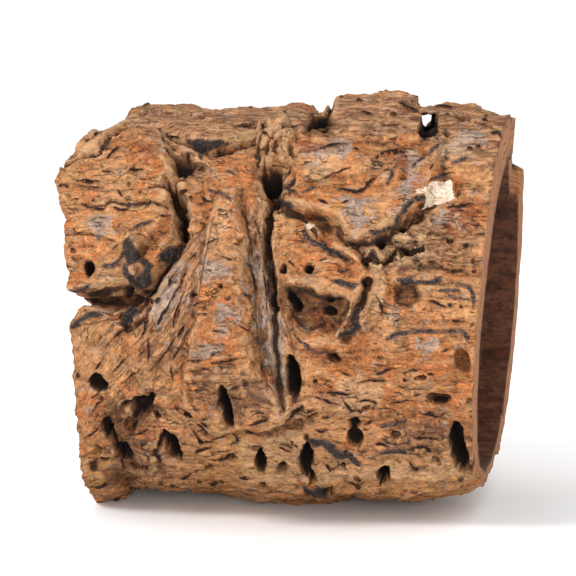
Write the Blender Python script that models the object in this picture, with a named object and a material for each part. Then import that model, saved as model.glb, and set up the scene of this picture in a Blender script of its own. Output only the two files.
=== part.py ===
"""A short hollow length of cork branch, lying on its side, built as one solid of bark.

The bark is a rough tube round +X, sawn across at its right end and broken off at its left.
+Z is up, and the origin is on the worn flat patch that the tube rests on, under its middle.
A turn is an angle round the tube: 0 faces the viewer (-Y), 90 is the top, 180 the back, 270 the
underside. What the near side shows is laid out as it looks from a viewer's place in front of it, in
that view's own units, right and down from its top left corner. What the far side has is laid out by
millimetres along the tube and degrees of turn.
"""

import math

import bmesh
import bpy
import numpy as np
from mathutils import Matrix, Vector

MM = 0.001

# Driving dimensions of the tube, in millimetres.
BARK_RADIUS = 85.0
AXIS_HEIGHT = 84.4
BORE_RADIUS = 65.0
BORE_DROP = 2.5
SAW_CUT = 86.0
SAW_LEAN = 0.062
UNCUT_END = 96.0

# The broken left end: turn in degrees, place along the tube in millimetres.
LEFT_END = [
    (-90, -85.0), (-75, -83.6), (-55, -83.1), (-35, -80.1), (-25, -78.6), (-10, -78.2), (-1, -78.6),
    (4, -75.6), (5.2, -71.4), (8.4, -71.8), (9.4, -77.8), (15, -78.6), (22, -80.8), (32, -82.6),
    (39, -88.0), (48, -85.6), (56, -81.5), (64, -79.0), (76, -76.0), (90, -79.0), (110, -84.0),
    (135, -86.0), (160, -83.0), (185, -86.5), (210, -84.0), (240, -87.0), (270, -85.0),
]

# The right end where it is chipped back from the saw cut: turn, millimetres along the tube.
RIGHT_CHIP = [(96, UNCUT_END), (100, 88.4), (112, 86.6), (126, 85.4), (138, 84.6), (142, UNCUT_END)]

# The viewer's place: turned and raised in degrees, distance and target in millimetres. One view unit
# on the near side is NEAR_UNIT millimetres.
VIEW_TURN = 11.0
VIEW_RISE = 6.0
VIEW_DISTANCE = 1050.0
VIEW_TARGET = (-5.1, 0.0, 91.6)
VIEW_SCALE = 2442.0
VIEW_CENTRE = 288.0
NEAR_UNIT = 0.395

# Slow swellings round the tube: rise in millimetres, waves along, waves round, phase.
SWELLINGS = [(0.9, 0.35, 2, 0.6), (0.7, 0.9, 3, 2.1), (0.7, 1.4, 5, 4.0)]
BORE_SWELLINGS = [(1.3, 0.4, 2, 2.2), (0.9, 0.9, 3, 0.4), (0.7, 1.7, 6, 3.0)]

# Random lumps all over the bark: rise, length along and size across in millimetres, seed.
LUMPS = [(1.7, 26.0, 17.0, 3), (1.3, 13.0, 8.0, 8)]

# Slabs of bark that stand out of the near side: rise in millimetres, edge in view units, outline.
NEAR_SLABS = {
    "west_slab": (4.5, 10, [
        (40, 176), (84, 160), (122, 130), (158, 134), (172, 158), (186, 188), (172, 194), (168, 226),
        (150, 244), (138, 268), (128, 290), (100, 288), (58, 294), (40, 250),
    ]),
    "beak": (3.0, 9, [(138, 163), (165, 163), (182, 185), (176, 191), (158, 190), (142, 180)]),
    "apron": (4.5, 24, [
        (194, 238), (246, 196), (258, 310), (264, 370), (297, 402), (282, 426), (190, 426), (142, 384),
        (130, 334),
    ]),
    "buttress": (5.5, 9, [
        (222, 199), (243, 196), (251, 240), (256, 310), (261, 362), (299, 402), (291, 414), (250, 424),
        (212, 424), (186, 398), (192, 350), (198, 300), (204, 262), (211, 228),
    ]),
    "shelf": (7.0, 10, [
        (284, 160), (300, 147), (345, 139), (385, 130), (420, 141), (443, 153), (437, 186), (421, 207),
        (398, 228), (374, 243), (350, 238), (325, 222), (303, 217), (286, 205), (280, 182),
    ]),
    "swirl": (3.5, 10, [
        (288, 222), (312, 222), (352, 248), (371, 268), (375, 300), (366, 330), (342, 352), (300, 350),
        (285, 330), (279, 262),
    ]),
    "low_left": (2.5, 12, [(82, 330), (128, 318), (160, 350), (150, 396), (112, 440), (84, 445)]),
    "east_face": (1.5, 14, [(398, 262), (500, 275), (500, 430), (404, 432), (382, 384), (380, 310)]),
}

# Hollows in the near side: depth in millimetres, edge in view units, outline.
NEAR_HOLLOWS = {
    "swirl_bowl": (4.0, 9, [(290, 290), (330, 294), (352, 303), (347, 328), (312, 334), (288, 320)]),
    "under_shelf": (8.0, 11, [(352, 250), (372, 244), (398, 232), (404, 246), (394, 262), (372, 272)]),
    "left_shoulder": (9.0, 16, [(50, 80), (132, 80), (126, 110), (110, 120), (84, 128), (50, 138)]),
    "cave": (9.0, 9, [(264, 172), (286, 168), (296, 182), (292, 198), (278, 208), (266, 196)]),
    "brown_dish": (3.0, 7, [(396, 288), (414, 286), (420, 298), (408, 308), (398, 304)]),
}

# Grooves in the near side: half width in view units, depth in millimetres, line.
NEAR_GROOVES = {
    "crevice": (9, 11.0, [(283, 164), (276, 184), (270, 214), (270, 234), (274, 258), (285, 308)]),
    "left_crescent": (8, 9.0, [(172, 190), (181, 200), (184, 215), (181, 230)]),
    "left_recess": (9, 6.0, [(50, 299), (84, 300), (112, 302), (130, 300)]),
    "left_valley": (10, 5.0, [(184, 226), (178, 248), (163, 262), (148, 288), (126, 316)]),
    "shelf_edge": (7, 6.0, [(443, 194), (424, 210), (402, 228), (382, 240), (360, 246)]),
    "shelf_step": (6, 4.0, [(286, 208), (302, 219), (318, 220), (334, 252), (352, 262)]),
    "swirl_ear": (6, 5.0, [(368, 282), (362, 302), (358, 322), (348, 336)]),
    "low_crevice": (8, 5.0, [(285, 306), (288, 340), (294, 382), (300, 402)]),
    "buttress_foot": (8, 3.0, [(176, 398), (205, 434), (250, 440), (296, 424)]),
    "top_trough": (10, 6.0, [(296, 142), (326, 132), (360, 134), (400, 136), (425, 144), (446, 152)]),
    "top_left_trough": (9, 3.0, [(122, 130), (150, 124), (180, 135), (210, 150), (240, 142), (272, 134)]),
    "low_left_edge": (5, 4.0, [(92, 470), (115, 462), (135, 474), (152, 484)]),
    "right_band": (8, 3.0, [(384, 236), (420, 262), (450, 268), (484, 272)]),
}

# The line of the top and of the underside against the sky, in view units, how many millimetres behind
# the axis each lies, and the turns that it shapes: from nothing, from full, to full, to nothing.
TOP_LINE = [
    (60, 126), (90, 130), (111, 124), (129, 111), (151, 107), (186, 103), (213, 109), (227, 108),
    (234, 104), (264, 106), (300, 102), (309, 106), (318, 114), (330, 112), (335, 98), (342, 95),
    (398, 97), (416, 97), (423, 106), (432, 106), (478, 102), (484, 107), (508, 112), (540, 114),
]
TOP_BEHIND = 8.0
TOP_TURNS = (74, 88, 108, 126)
UNDER_LINE = [
    (70, 500), (105, 501), (127, 494), (138, 484), (155, 486), (177, 487), (226, 494), (266, 501),
    (311, 505), (330, 507), (355, 502), (415, 504), (439, 499), (464, 494), (484, 486), (520, 468),
]
UNDER_BEHIND = -12.0
UNDER_TURNS = (232, 252, 292, 318)

# Furrows of the far side: half width and depth in millimetres, line of (along, turn).
FAR_FURROWS = {
    "upper": (6.0, 6.0, [(-100, 124), (-60, 130), (-20, 124), (20, 132), (62, 126)]),
    "shoulder": (5.0, 5.0, [(-30, 146), (5, 151), (48, 146), (100, 152)]),
    "middle": (7.0, 7.0, [(-100, 172), (-62, 168), (-24, 178), (12, 186), (50, 180), (100, 176)]),
    "lower": (5.0, 6.0, [(-70, 202), (-30, 208), (20, 203), (70, 212)]),
    "hip": (6.0, 5.0, [(-100, 228), (-55, 222), (-10, 232), (44, 226), (100, 234)]),
}

# Swells of the far side: rise, half length in millimetres, half girth in degrees, (along, turn).
FAR_SWELLS = {
    "big_knot": (6.0, 24, 15, (30, 163)),
    "left_shoulder": (4.5, 30, 13, (-52, 150)),
    "hip_swell": (4.0, 34, 12, (-36, 216)),
    "right_swell": (3.5, 26, 14, (62, 205)),
    "back_foot": (4.0, 18, 9, (50, 257)),
    "middle_foot": (2.6, 17, 11, (0, 270)),
}

# Worm holes of the near side: (right, down), half width, half height, lean in degrees, depth in mm.
NEAR_HOLES = {
    "long_slot": ((226, 408), 6, 21, -17, 15),
    "left_slot": ((172, 446), 6, 20, -27, 13),
    "crevice_slot": ((293, 378), 7, 22, -4, 15),
    "square_hole": ((260, 465), 6, 10, -3, 15),
    "low_hole": ((306, 460), 7, 15, 3, 13),
    "twin_round": ((355, 438), 8, 8, 0, 7),
    "twin_square": ((354, 424), 6, 6, 0, 10),
    "underside_hole": ((384, 478), 7, 10, 0, 12),
    "east_hole": ((459, 450), 8, 26, -8, 15),
    "olive_pit": ((463, 361), 8, 14, -14, 4),
    "brown_hole": ((97, 384), 10, 8, 38, 8),
    "slab_hole": ((89, 268), 5, 8, 0, 10),
    "round_pit": ((309, 268), 5, 5, 0, 6),
    "bowl_slot": ((295, 302), 5, 11, -28, 9),
    "bowl_round": ((330, 311), 6, 6, 0, 5),
    "foot_dish": ((142, 406), 11, 10, 0, 5),
    "foot_pit": ((108, 428), 6, 10, -20, 8),
}

# Worm holes of the far side: (along, turn), half length and half girth in mm, depth.
FAR_HOLES = [
    ((-60, 139), 2.6, 5.0, 9), ((-12, 160), 3.0, 3.0, 12), ((44, 195), 2.4, 6.0, 11),
    ((70, 160), 3.0, 4.0, 9), ((-40, 190), 2.8, 5.5, 12), ((10, 218), 3.0, 3.2, 9),
    ((-66, 236), 2.6, 4.5, 9), ((58, 222), 2.8, 5.0, 12),
]

# The cleft across the top, under a sliver that bridges it: middle, and length, width and height of the
# cut in millimetres. It runs the way the viewer looks.
CLEFT_MIDDLE = (54.0, 3.0, 162.4)
CLEFT_SIZE = (6.6, 92.0, 10.0)

# How finely the wall is laid out, and how many triangles it keeps.
NEAR_TURNS = (-90.0, 104.0, 143)
FAR_TURNS = (104.0, 270.0, 73)
MIDDLE_SPAN = (-81.0, 94.0)
RINGS = 150
BORE_RINGS = 16
WALL_TRIANGLES = 7600
HOLE_SIDES = 10
DRILL_REACH = 12.0
DRILL_ENDS = (0.72, 1.12)


def ramp(value, low, high):
    """Rises smoothly from 0 at low to 1 at high."""
    share = np.clip((value - low) / (high - low), 0.0, 1.0)
    return share * share * (3.0 - 2.0 * share)


def line_distance(right, down, line):
    """Distance from each point to an open line of points."""
    nearest = np.full(np.shape(right), 1e9)
    for (x0, y0), (x1, y1) in zip(line[:-1], line[1:]):
        dx, dy = x1 - x0, y1 - y0
        share = np.clip(((right - x0) * dx + (down - y0) * dy) / (dx * dx + dy * dy), 0.0, 1.0)
        nearest = np.minimum(nearest, np.hypot(right - x0 - share * dx, down - y0 - share * dy))
    return nearest


def depth_inside(right, down, outline):
    """Distance to a closed outline, above 0 inside it and below 0 outside."""
    inside = np.zeros(np.shape(right), bool)
    closed = outline + outline[:1]
    for (x0, y0), (x1, y1) in zip(closed[:-1], closed[1:]):
        if y0 != y1:
            inside ^= ((y0 > down) != (y1 > down)) & (right < x0 + (down - y0) * (x1 - x0) / (y1 - y0))
    return np.where(inside, 1.0, -1.0) * line_distance(right, down, closed)


def view_axes():
    """The viewer's right, up and back directions."""
    turn, rise = math.radians(VIEW_TURN), math.radians(VIEW_RISE)
    right = np.array([math.cos(turn), math.sin(turn), 0.0])
    back = np.array([math.sin(turn) * math.cos(rise), -math.cos(turn) * math.cos(rise), math.sin(rise)])
    return right, np.cross(back, right), back


def seen_at(points):
    """Where the viewer sees each point, right and down, in view units."""
    right, up, back = view_axes()
    reach = points - np.array(VIEW_TARGET)
    scale = VIEW_SCALE / (VIEW_DISTANCE - reach @ back)
    return VIEW_CENTRE + (reach @ right) * scale, VIEW_CENTRE - (reach @ up) * scale


def waves(along, turn, table):
    """A sum of slow waves along and round the tube."""
    total = np.zeros(np.shape(along))
    for rise, waves_along, waves_round, phase in table:
        total += rise * np.sin(waves_along * along / 28.0 + waves_round * turn + phase)
    return total


def lumps(points, size, seed):
    """Smooth random lumps in space, from -1 to 1, each about a size across in millimetres."""
    table = np.random.default_rng(seed).uniform(-1.0, 1.0, (32, 32, 32))
    place = points / size
    corner = np.floor(place).astype(int)
    share = place - corner
    share = share * share * (3.0 - 2.0 * share)
    total = np.zeros(points.shape[:-1])
    for step in np.ndindex(2, 2, 2):
        weight = np.prod(np.where(step, share, 1.0 - share), axis=-1)
        total += weight * table[tuple(np.moveaxis((corner + step) % 32, -1, 0))]
    return total


def around(along, radius, turn):
    """Points at a radius and a turn round the tube's axis."""
    return np.stack([along, -radius * np.cos(turn), AXIS_HEIGHT + radius * np.sin(turn)], axis=-1)


def near_relief(along, turn, radius):
    """Rise of the bark on the side that the viewer sees."""
    _, _, back = view_axes()
    facing = ramp(-np.cos(turn) * back[1] + np.sin(turn) * back[2], -0.10, 0.10)
    right, down = seen_at(around(along, radius, turn))
    rise = np.zeros(np.shape(along))
    for height, edge, outline in NEAR_SLABS.values():
        rise += height * ramp(depth_inside(right, down, outline), -edge * 0.6, edge * 0.6)
    for depth, edge, outline in NEAR_HOLLOWS.values():
        rise -= depth * ramp(depth_inside(right, down, outline), -edge * 0.5, edge * 0.5)
    for half_width, depth, line in NEAR_GROOVES.values():
        rise -= depth * (1.0 - ramp(line_distance(right, down, line), 0.15 * half_width, 1.2 * half_width))
    return rise * facing


def line_places(line, behind):
    """Along and height of the points of a view line, where it lies a distance behind the axis."""
    right, up, back = view_axes()
    places = []
    for x, y in line:
        u, v = (x - VIEW_CENTRE) / VIEW_SCALE, (VIEW_CENTRE - y) / VIEW_SCALE
        rows = np.stack([right + u * back, up + v * back])
        known = rows[:, 1] * (behind - VIEW_TARGET[1])
        reach = np.linalg.solve(rows[:, (0, 2)], VIEW_DISTANCE * np.array([u, v]) - known)
        places.append((reach[0] + VIEW_TARGET[0], reach[1] + VIEW_TARGET[2]))
    return np.array(places)


def line_relief(along, turn):
    """Rise that brings the top and the underside to their lines against the sky."""
    rise = np.zeros(np.shape(along))
    for line, behind, turns, sign in (
        (TOP_LINE, TOP_BEHIND, TOP_TURNS, 1.0), (UNDER_LINE, UNDER_BEHIND, UNDER_TURNS, -1.0)
    ):
        degrees = np.degrees(turn) + np.where(np.degrees(turn) < turns[3] - 360.0, 360.0, 0.0)
        places = line_places(line, behind)
        height = np.interp(along, places[:, 0], places[:, 1])
        level = math.sqrt(BARK_RADIUS ** 2 - behind ** 2)
        share = ramp(degrees, turns[0], turns[1]) * (1.0 - ramp(degrees, turns[2], turns[3]))
        rise += share * (sign * (height - AXIS_HEIGHT) - level)
    return rise


def far_relief(along, turn):
    """Rise and furrows of the side that the viewer doesn't see."""
    girth = turn * BARK_RADIUS
    rise = np.zeros(np.shape(along))
    for half_width, depth, line in FAR_FURROWS.values():
        path = [(x, math.radians(angle) * BARK_RADIUS) for x, angle in line]
        rise -= depth * (1.0 - ramp(line_distance(along, girth, path), 0.1 * half_width, 1.3 * half_width))
    for height, half_length, half_girth, (x, angle) in FAR_SWELLS.values():
        round_off = (np.degrees(turn) - angle + 180.0) % 360.0 - 180.0
        off = np.hypot((along - x) / half_length, round_off / half_girth)
        rise += height * (1.0 - ramp(off, 0.2, 1.3))
    return rise


def bark_radius(along, turn):
    """Outer radius of the bark at each place along and turn."""
    base = BARK_RADIUS + waves(along, turn, SWELLINGS)
    round_points = around(along, BARK_RADIUS, turn)
    for height, length, across, seed in LUMPS:
        base = base + height * lumps(round_points, np.array([length, across, across]), seed)
    return base + near_relief(along, turn, base) + line_relief(along, turn) + far_relief(along, turn)


def left_end(turn):
    """Place along the tube where the bark is broken off, at each turn."""
    turns, places = zip(*LEFT_END)
    return np.interp(np.degrees(turn), turns, places)


def right_end(turn):
    """Place along the tube where the bark ends before it is sawn, at each turn."""
    turns, places = zip(*RIGHT_CHIP)
    return np.interp(np.degrees(turn), turns, places)


def turns_round():
    """Turns of the sections, from the underside round, closer together on the near side."""
    spans = [np.linspace(*span, endpoint=False) for span in (NEAR_TURNS, FAR_TURNS)]
    return np.radians(np.concatenate(spans))


def wall_sheet(rings, radius_at, drop):
    """Grid of points over one face of the wall: level rings that bend only near the two ends."""
    turn = turns_round()[None, :]
    share = np.linspace(0.0, 1.0, rings)[:, None]
    along = MIDDLE_SPAN[0] + share * (MIDDLE_SPAN[1] - MIDDLE_SPAN[0])
    along = along + (left_end(turn) - MIDDLE_SPAN[0]) * (1.0 - share) ** 7
    along = along + (right_end(turn) - MIDDLE_SPAN[1]) * share ** 7
    turn = np.broadcast_to(turn, along.shape)
    return around(along, radius_at(along, turn), turn) - np.array([0.0, 0.0, drop])


def bore_radius(along, turn):
    """Inner radius of the wall."""
    return BORE_RADIUS + waves(along, turn, BORE_SWELLINGS)


def make_object(name, vertices, faces):
    """A mesh object from points in millimetres and faces."""
    mesh = bpy.data.meshes.new(name)
    mesh.from_pydata([tuple(p) for p in np.asarray(vertices) * MM], [], [tuple(f) for f in faces])
    mesh.update()
    found = bpy.data.objects.new(name, mesh)
    bpy.context.scene.collection.objects.link(found)
    return found


def bark_wall():
    """The tube's closed wall: its outer face, right end, bore and left end, in one loop of rings."""
    outside = wall_sheet(RINGS, bark_radius, 0.0)
    inside = wall_sheet(BORE_RINGS, bore_radius, BORE_DROP)
    rings = np.concatenate([outside, inside[::-1]])
    count, sections = rings.shape[:2]
    faces = []
    for i in range(count):
        for j in range(sections):
            after, beside = (i + 1) % count, (j + 1) % sections
            corners = ((i, j), (i, beside), (after, beside), (after, j))
            faces.append([ring * sections + section for ring, section in corners])
    return make_object("cork_branch", rings.reshape(-1, 3), faces)


def near_sheet():
    """A grid over the near side: its turns, its points, and where the viewer sees them."""
    turns, along = np.meshgrid(np.radians(np.linspace(-88.0, 100.0, 380)), np.linspace(*MIDDLE_SPAN, 350))
    points = around(along, bark_radius(along, turns), turns)
    return turns, points, seen_at(points)


def outward_at(turn):
    """Direction straight out of the tube at a turn."""
    return np.array([0.0, -math.cos(turn), math.sin(turn)])


def add_drill(mesh, place, outward, across, half_width, half_height, depth):
    """Adds a tapered drill to a bmesh: a depth below a place, its axis along outward."""
    side = np.cross(outward, across)
    frame = Matrix((Vector(across), Vector(side), Vector(outward))).transposed().to_4x4()
    centre = Vector(place + outward * (DRILL_REACH - depth) / 2.0)
    size = Matrix.Diagonal((half_width, half_height, 1.0, 1.0))
    tip, mouth = DRILL_ENDS
    bmesh.ops.create_cone(
        mesh, cap_ends=True, segments=HOLE_SIDES, radius1=tip, radius2=mouth, depth=depth + DRILL_REACH,
        matrix=Matrix.Translation(centre) @ frame @ size,
    )


def worm_holes():
    """The drills that cut the worm holes, as one cutter."""
    mesh = bmesh.new()
    level = np.array([1.0, 0.0, 0.0])
    turns, points, (sheet_right, sheet_down) = near_sheet()
    for (right, down), half_width, half_height, lean, depth in NEAR_HOLES.values():
        nearest = np.unravel_index(np.argmin(np.hypot(sheet_right - right, sheet_down - down)), turns.shape)
        outward = outward_at(turns[nearest])
        lean = math.radians(lean)
        across = math.cos(lean) * level - math.sin(lean) * np.cross(outward, level)
        half_sizes = (half_width * NEAR_UNIT, half_height * NEAR_UNIT)
        add_drill(mesh, points[nearest], outward, across, *half_sizes, depth)
    for (along, turn), half_length, half_girth, depth in FAR_HOLES:
        turn = math.radians(turn)
        place = around(along, float(bark_radius(np.array(along), np.array(turn))), turn)
        add_drill(mesh, place, outward_at(turn), level, half_length, half_girth, depth)
    return cutter("worm_hole_drills", mesh)


def box_cutter(name, size, corner, place):
    """A box cutter of a size, with a corner at a place, in millimetres; corner is a share of each side."""
    mesh = bmesh.new()
    centre = [(0.5 - share) * side for share, side in zip(corner, size)]
    bmesh.ops.create_cube(mesh, size=1.0, matrix=Matrix.Translation(centre) @ Matrix.Diagonal((*size, 1.0)))
    found = cutter(name, mesh)
    found.location = Vector(place) * MM
    return found


def end_cuts():
    """The cutters of the sawn right end, the worn underside and the cleft across the top."""
    saw = box_cutter("saw_cut", (40.0, 260.0, 260.0), (0.0, 0.5, 0.5), (SAW_CUT, 0.0, AXIS_HEIGHT))
    saw.rotation_euler = (0.0, math.atan(SAW_LEAN), 0.0)
    ground = box_cutter("worn_underside", (260.0, 260.0, 40.0), (0.5, 0.5, 1.0), (0.0, 0.0, 0.0))
    cleft = box_cutter("top_cleft", CLEFT_SIZE, (0.5, 0.5, 0.5), CLEFT_MIDDLE)
    cleft.rotation_euler = (0.0, 0.0, math.radians(VIEW_TURN))
    return [saw, ground, cleft]


def cutter(name, mesh):
    """A hidden object that only cuts the bark."""
    bmesh.ops.scale(mesh, vec=(MM, MM, MM), verts=mesh.verts)
    bmesh.ops.recalc_face_normals(mesh, faces=mesh.faces)
    data = bpy.data.meshes.new(name)
    mesh.to_mesh(data)
    mesh.free()
    found = bpy.data.objects.new(name, data)
    bpy.context.scene.collection.objects.link(found)
    found.hide_render = True
    found.display_type = "WIRE"
    return found


def cork_material():
    """Weathered cork bark, tan with an orange tone."""
    material = bpy.data.materials.new("cork_bark")
    material.use_nodes = True
    shader = material.node_tree.nodes["Principled BSDF"]
    shader.inputs["Base Color"].default_value = (0.36, 0.17, 0.07, 1.0)
    shader.inputs["Roughness"].default_value = 0.85
    shader.inputs["Metallic"].default_value = 0.0
    return material


def build():
    """Makes the branch in an empty scene."""
    for found in list(bpy.data.objects):
        bpy.data.objects.remove(found)
    bark = bark_wall()
    bark.data.materials.append(cork_material())
    triangles = 2 * len(bark.data.polygons)
    simpler = bark.modifiers.new("fewer_faces", "DECIMATE")
    simpler.ratio = WALL_TRIANGLES / triangles
    for tool in end_cuts() + [worm_holes()]:
        cut = bark.modifiers.new(tool.name, "BOOLEAN")
        cut.operation = "DIFFERENCE"
        cut.solver = "EXACT"
        cut.object = tool


build()
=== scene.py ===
"""A short hollow length of cork branch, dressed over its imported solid.

The bark is one closed skin of points in rings: out along the near and far faces, over the sawn end,
back through the bore and over the broken end. Lengths are in millimetres until they go into a mesh.
A turn is an angle round the tube: 0 faces the viewer (-Y), 90 is the top, 180 the back, 270 the
underside. What the near side shows is laid out as the viewer sees it, in view units to the right and
down; what the far side has is laid out by millimetres along the tube and degrees of turn.
"""

import math

import bpy
import numpy as np
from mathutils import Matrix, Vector


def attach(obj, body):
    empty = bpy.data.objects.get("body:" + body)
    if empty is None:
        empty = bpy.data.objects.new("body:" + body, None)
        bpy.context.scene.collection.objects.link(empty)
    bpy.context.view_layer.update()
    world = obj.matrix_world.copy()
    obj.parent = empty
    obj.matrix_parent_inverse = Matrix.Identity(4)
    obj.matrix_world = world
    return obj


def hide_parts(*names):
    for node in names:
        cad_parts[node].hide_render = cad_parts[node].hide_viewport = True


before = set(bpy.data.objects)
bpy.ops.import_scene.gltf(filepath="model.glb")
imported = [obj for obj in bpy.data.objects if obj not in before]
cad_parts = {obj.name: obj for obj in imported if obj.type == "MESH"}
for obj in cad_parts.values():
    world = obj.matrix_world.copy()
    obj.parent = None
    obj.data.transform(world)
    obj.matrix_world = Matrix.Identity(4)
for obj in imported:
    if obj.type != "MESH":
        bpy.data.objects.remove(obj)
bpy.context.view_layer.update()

MM = 0.001

# The tube, in millimetres, as its solid has it.
BARK_RADIUS = 85.0
AXIS_HEIGHT = 84.4
BORE_RADIUS = 65.0
BORE_DROP = 2.5
SAW_CUT = 86.0
SAW_LEAN = 0.062
WHOLE_END = 200.0

# The broken left end: turn in degrees, place along the tube in millimetres.
LEFT_END = [
    (-90, -85.0), (-75, -83.6), (-55, -83.1), (-35, -80.1), (-25, -78.6), (-10, -78.2), (-1, -78.6),
    (4, -75.6), (5.2, -71.4), (6.2, -71.6), (6.9, -74.4), (7.6, -71.6), (8.6, -71.8), (9.4, -77.8),
    (15, -78.6), (22, -80.8), (29, -79.8), (32, -82.6), (39, -88.0), (48, -85.6), (56, -81.5),
    (64, -79.0), (76, -76.0), (90, -79.0), (110, -84.0), (135, -86.0), (160, -83.0), (185, -86.5),
    (210, -84.0), (240, -87.0), (270, -85.0),
]

# The right end where it is chipped back from the saw cut: turn, millimetres along the tube.
RIGHT_CHIP = [
    (96, WHOLE_END), (98, 90.0), (100, 88.4), (112, 86.6), (126, 85.4), (138, 84.6), (141, WHOLE_END),
]

# The viewer's place: turned and raised in degrees, distance and target in millimetres, and how many
# view units a millimetre at unit distance is. A view unit is about 0.4 millimetres on the near side.
VIEW_TURN = 11.0
VIEW_RISE = 6.0
VIEW_DISTANCE = 1050.0
VIEW_TARGET = (-5.1, 0.0, 91.6)
VIEW_SCALE = 2442.0
VIEW_SIZE = 576.0

# How many cells the random lattices have each way before they repeat.
LUMP_CELLS = 32
PORE_CELLS = 24

# Slow swellings round the tube: rise in millimetres, waves along, waves round, phase.
SWELLINGS = [(0.9, 0.35, 2, 0.6), (0.7, 0.9, 3, 2.1), (0.7, 1.4, 5, 4.0)]
BORE_SWELLINGS = [(1.3, 0.4, 2, 2.2), (0.9, 0.9, 3, 0.4), (0.7, 1.7, 6, 3.0)]

# Layers of random lumps: rise and size in millimetres, or three sizes along X, Y and Z, and seed.
BARK_LUMPS = [(1.7, (26.0, 17.0, 17.0), 3), (1.3, (13.0, 8.0, 8.0), 8)]
BORE_LUMPS = [(1.1, (22.0, 9.0, 9.0), 31), (0.7, (9.0, 4.0, 4.0), 32)]
BORE_RIBS = [(0.35, (6.0, 1.6, 1.6), 33)]
KNOT_LUMPS = [(1.6, 5.5, 69), (1.2, 2.8, 70)]
BROKEN_END_TEETH = [(0.7, 4.0, 41), (0.35, 1.6, 42)]
END_FACE_LUMPS = [(2.0, 7.0, 71), (1.2, 2.8, 72), (0.4, 1.2, 73)]

# The same layers, used to bend outlines so that no edge runs straight: those of forms and of marks,
# in view units, and the way the far furrows wander.
FORM_BEND_RIGHT = [(3.2, 9.0, 85), (1.6, 4.0, 86)]
FORM_BEND_DOWN = [(3.2, 9.0, 87), (1.6, 4.0, 88)]
MARK_BEND_RIGHT = [(1.5, 4.5, 81), (0.8, 1.9, 82)]
MARK_BEND_DOWN = [(1.5, 4.5, 83), (0.8, 1.9, 84)]
FURROW_BEND = [(5.0, 17.0, 96), (2.4, 6.0, 97)]

# Layers that bend the space of the fibres in all three directions, from a first seed on.
FIBRE_BEND = [(3.0, 11.0, 51), (0.8, 3.4, 64)]
STRAND_BEND = [(1.2, 9.0, 74)]

# Slabs of bark that stand out of the near side: rise in millimetres, edge in view units, outline.
NEAR_SLABS = {
    "west_slab": (4.5, 10, [
        (40, 176), (84, 160), (122, 130), (158, 134), (172, 158), (186, 188), (172, 194), (168, 226),
        (150, 244), (138, 268), (128, 290), (100, 288), (58, 294), (40, 250),
    ]),
    "beak": (3.0, 9, [(138, 163), (165, 163), (182, 185), (176, 191), (158, 190), (142, 180)]),
    "apron": (4.5, 24, [
        (194, 238), (242, 196), (251, 310), (258, 370), (292, 402), (282, 426), (190, 426), (142, 384),
        (130, 334),
    ]),
    "buttress": (5.5, 9, [
        (222, 199), (240, 196), (246, 240), (250, 310), (256, 362), (294, 402), (288, 414), (250, 424),
        (212, 424), (186, 398), (192, 350), (198, 300), (204, 262), (211, 228),
    ]),
    "shelf": (7.0, 10, [
        (284, 160), (300, 147), (345, 139), (385, 130), (420, 141), (443, 153), (437, 186), (421, 207),
        (398, 228), (374, 243), (350, 238), (325, 222), (303, 217), (286, 205), (280, 182),
    ]),
    "swirl": (3.5, 10, [
        (288, 222), (312, 222), (352, 248), (371, 268), (375, 300), (366, 330), (342, 352), (300, 350),
        (285, 330), (279, 262),
    ]),
    "low_left": (2.5, 12, [(82, 330), (128, 318), (160, 350), (150, 396), (112, 440), (84, 445)]),
    "east_face": (1.5, 14, [(398, 262), (500, 275), (500, 430), (404, 432), (382, 384), (380, 310)]),
}

# Hollows in the near side: depth in millimetres, edge in view units, outline.
NEAR_HOLLOWS = {
    "swirl_bowl": (4.0, 9, [(290, 290), (330, 294), (352, 303), (347, 328), (312, 334), (288, 320)]),
    "under_shelf": (1.0, 11, [(352, 250), (372, 244), (398, 232), (404, 246), (394, 262), (372, 272)]),
    "left_shoulder": (9.0, 16, [(50, 80), (132, 80), (126, 110), (110, 120), (84, 128), (50, 138)]),
    "cave": (7.0, 9, [(264, 172), (286, 168), (296, 182), (292, 198), (278, 208), (266, 196)]),
    "brown_dish": (3.0, 7, [(396, 288), (414, 286), (420, 298), (408, 308), (398, 304)]),
}

# Grooves in the near side: half width in view units, depth in millimetres, line.
NEAR_GROOVES = {
    "crevice": (4, 6.0, [(276, 188), (271, 200), (268, 214), (268, 234), (270, 258), (273, 308)]),
    "left_crescent": (8, 9.0, [(172, 190), (181, 200), (184, 215), (181, 230)]),
    "left_recess": (9, 6.0, [(50, 299), (84, 300), (112, 302), (130, 300)]),
    "left_valley": (10, 5.0, [(184, 226), (178, 248), (163, 262), (148, 288), (126, 316)]),
    "shelf_edge": (4, 2.0, [(443, 194), (424, 210), (402, 228), (382, 240), (360, 246)]),
    "shelf_step": (6, 2.0, [(286, 208), (302, 219), (318, 220), (334, 252), (352, 262)]),
    "swirl_ear": (6, 5.0, [(368, 282), (362, 302), (358, 322), (348, 336)]),
    "low_crevice": (4, 1.6, [(272, 306), (274, 340), (279, 375), (286, 402)]),
    "buttress_foot": (8, 3.0, [(176, 398), (205, 434), (250, 440), (296, 424)]),
    "top_trough": (10, 6.0, [(296, 142), (326, 132), (360, 134), (400, 136), (418, 138)]),
    "top_left_trough": (9, 3.0, [(122, 130), (150, 124), (180, 135), (210, 150), (240, 142), (272, 134)]),
    "low_left_edge": (5, 4.0, [(92, 470), (115, 462), (135, 474), (152, 484)]),
    "right_band": (8, 2.0, [(384, 236), (420, 262), (450, 268), (484, 272)]),
}

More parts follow.
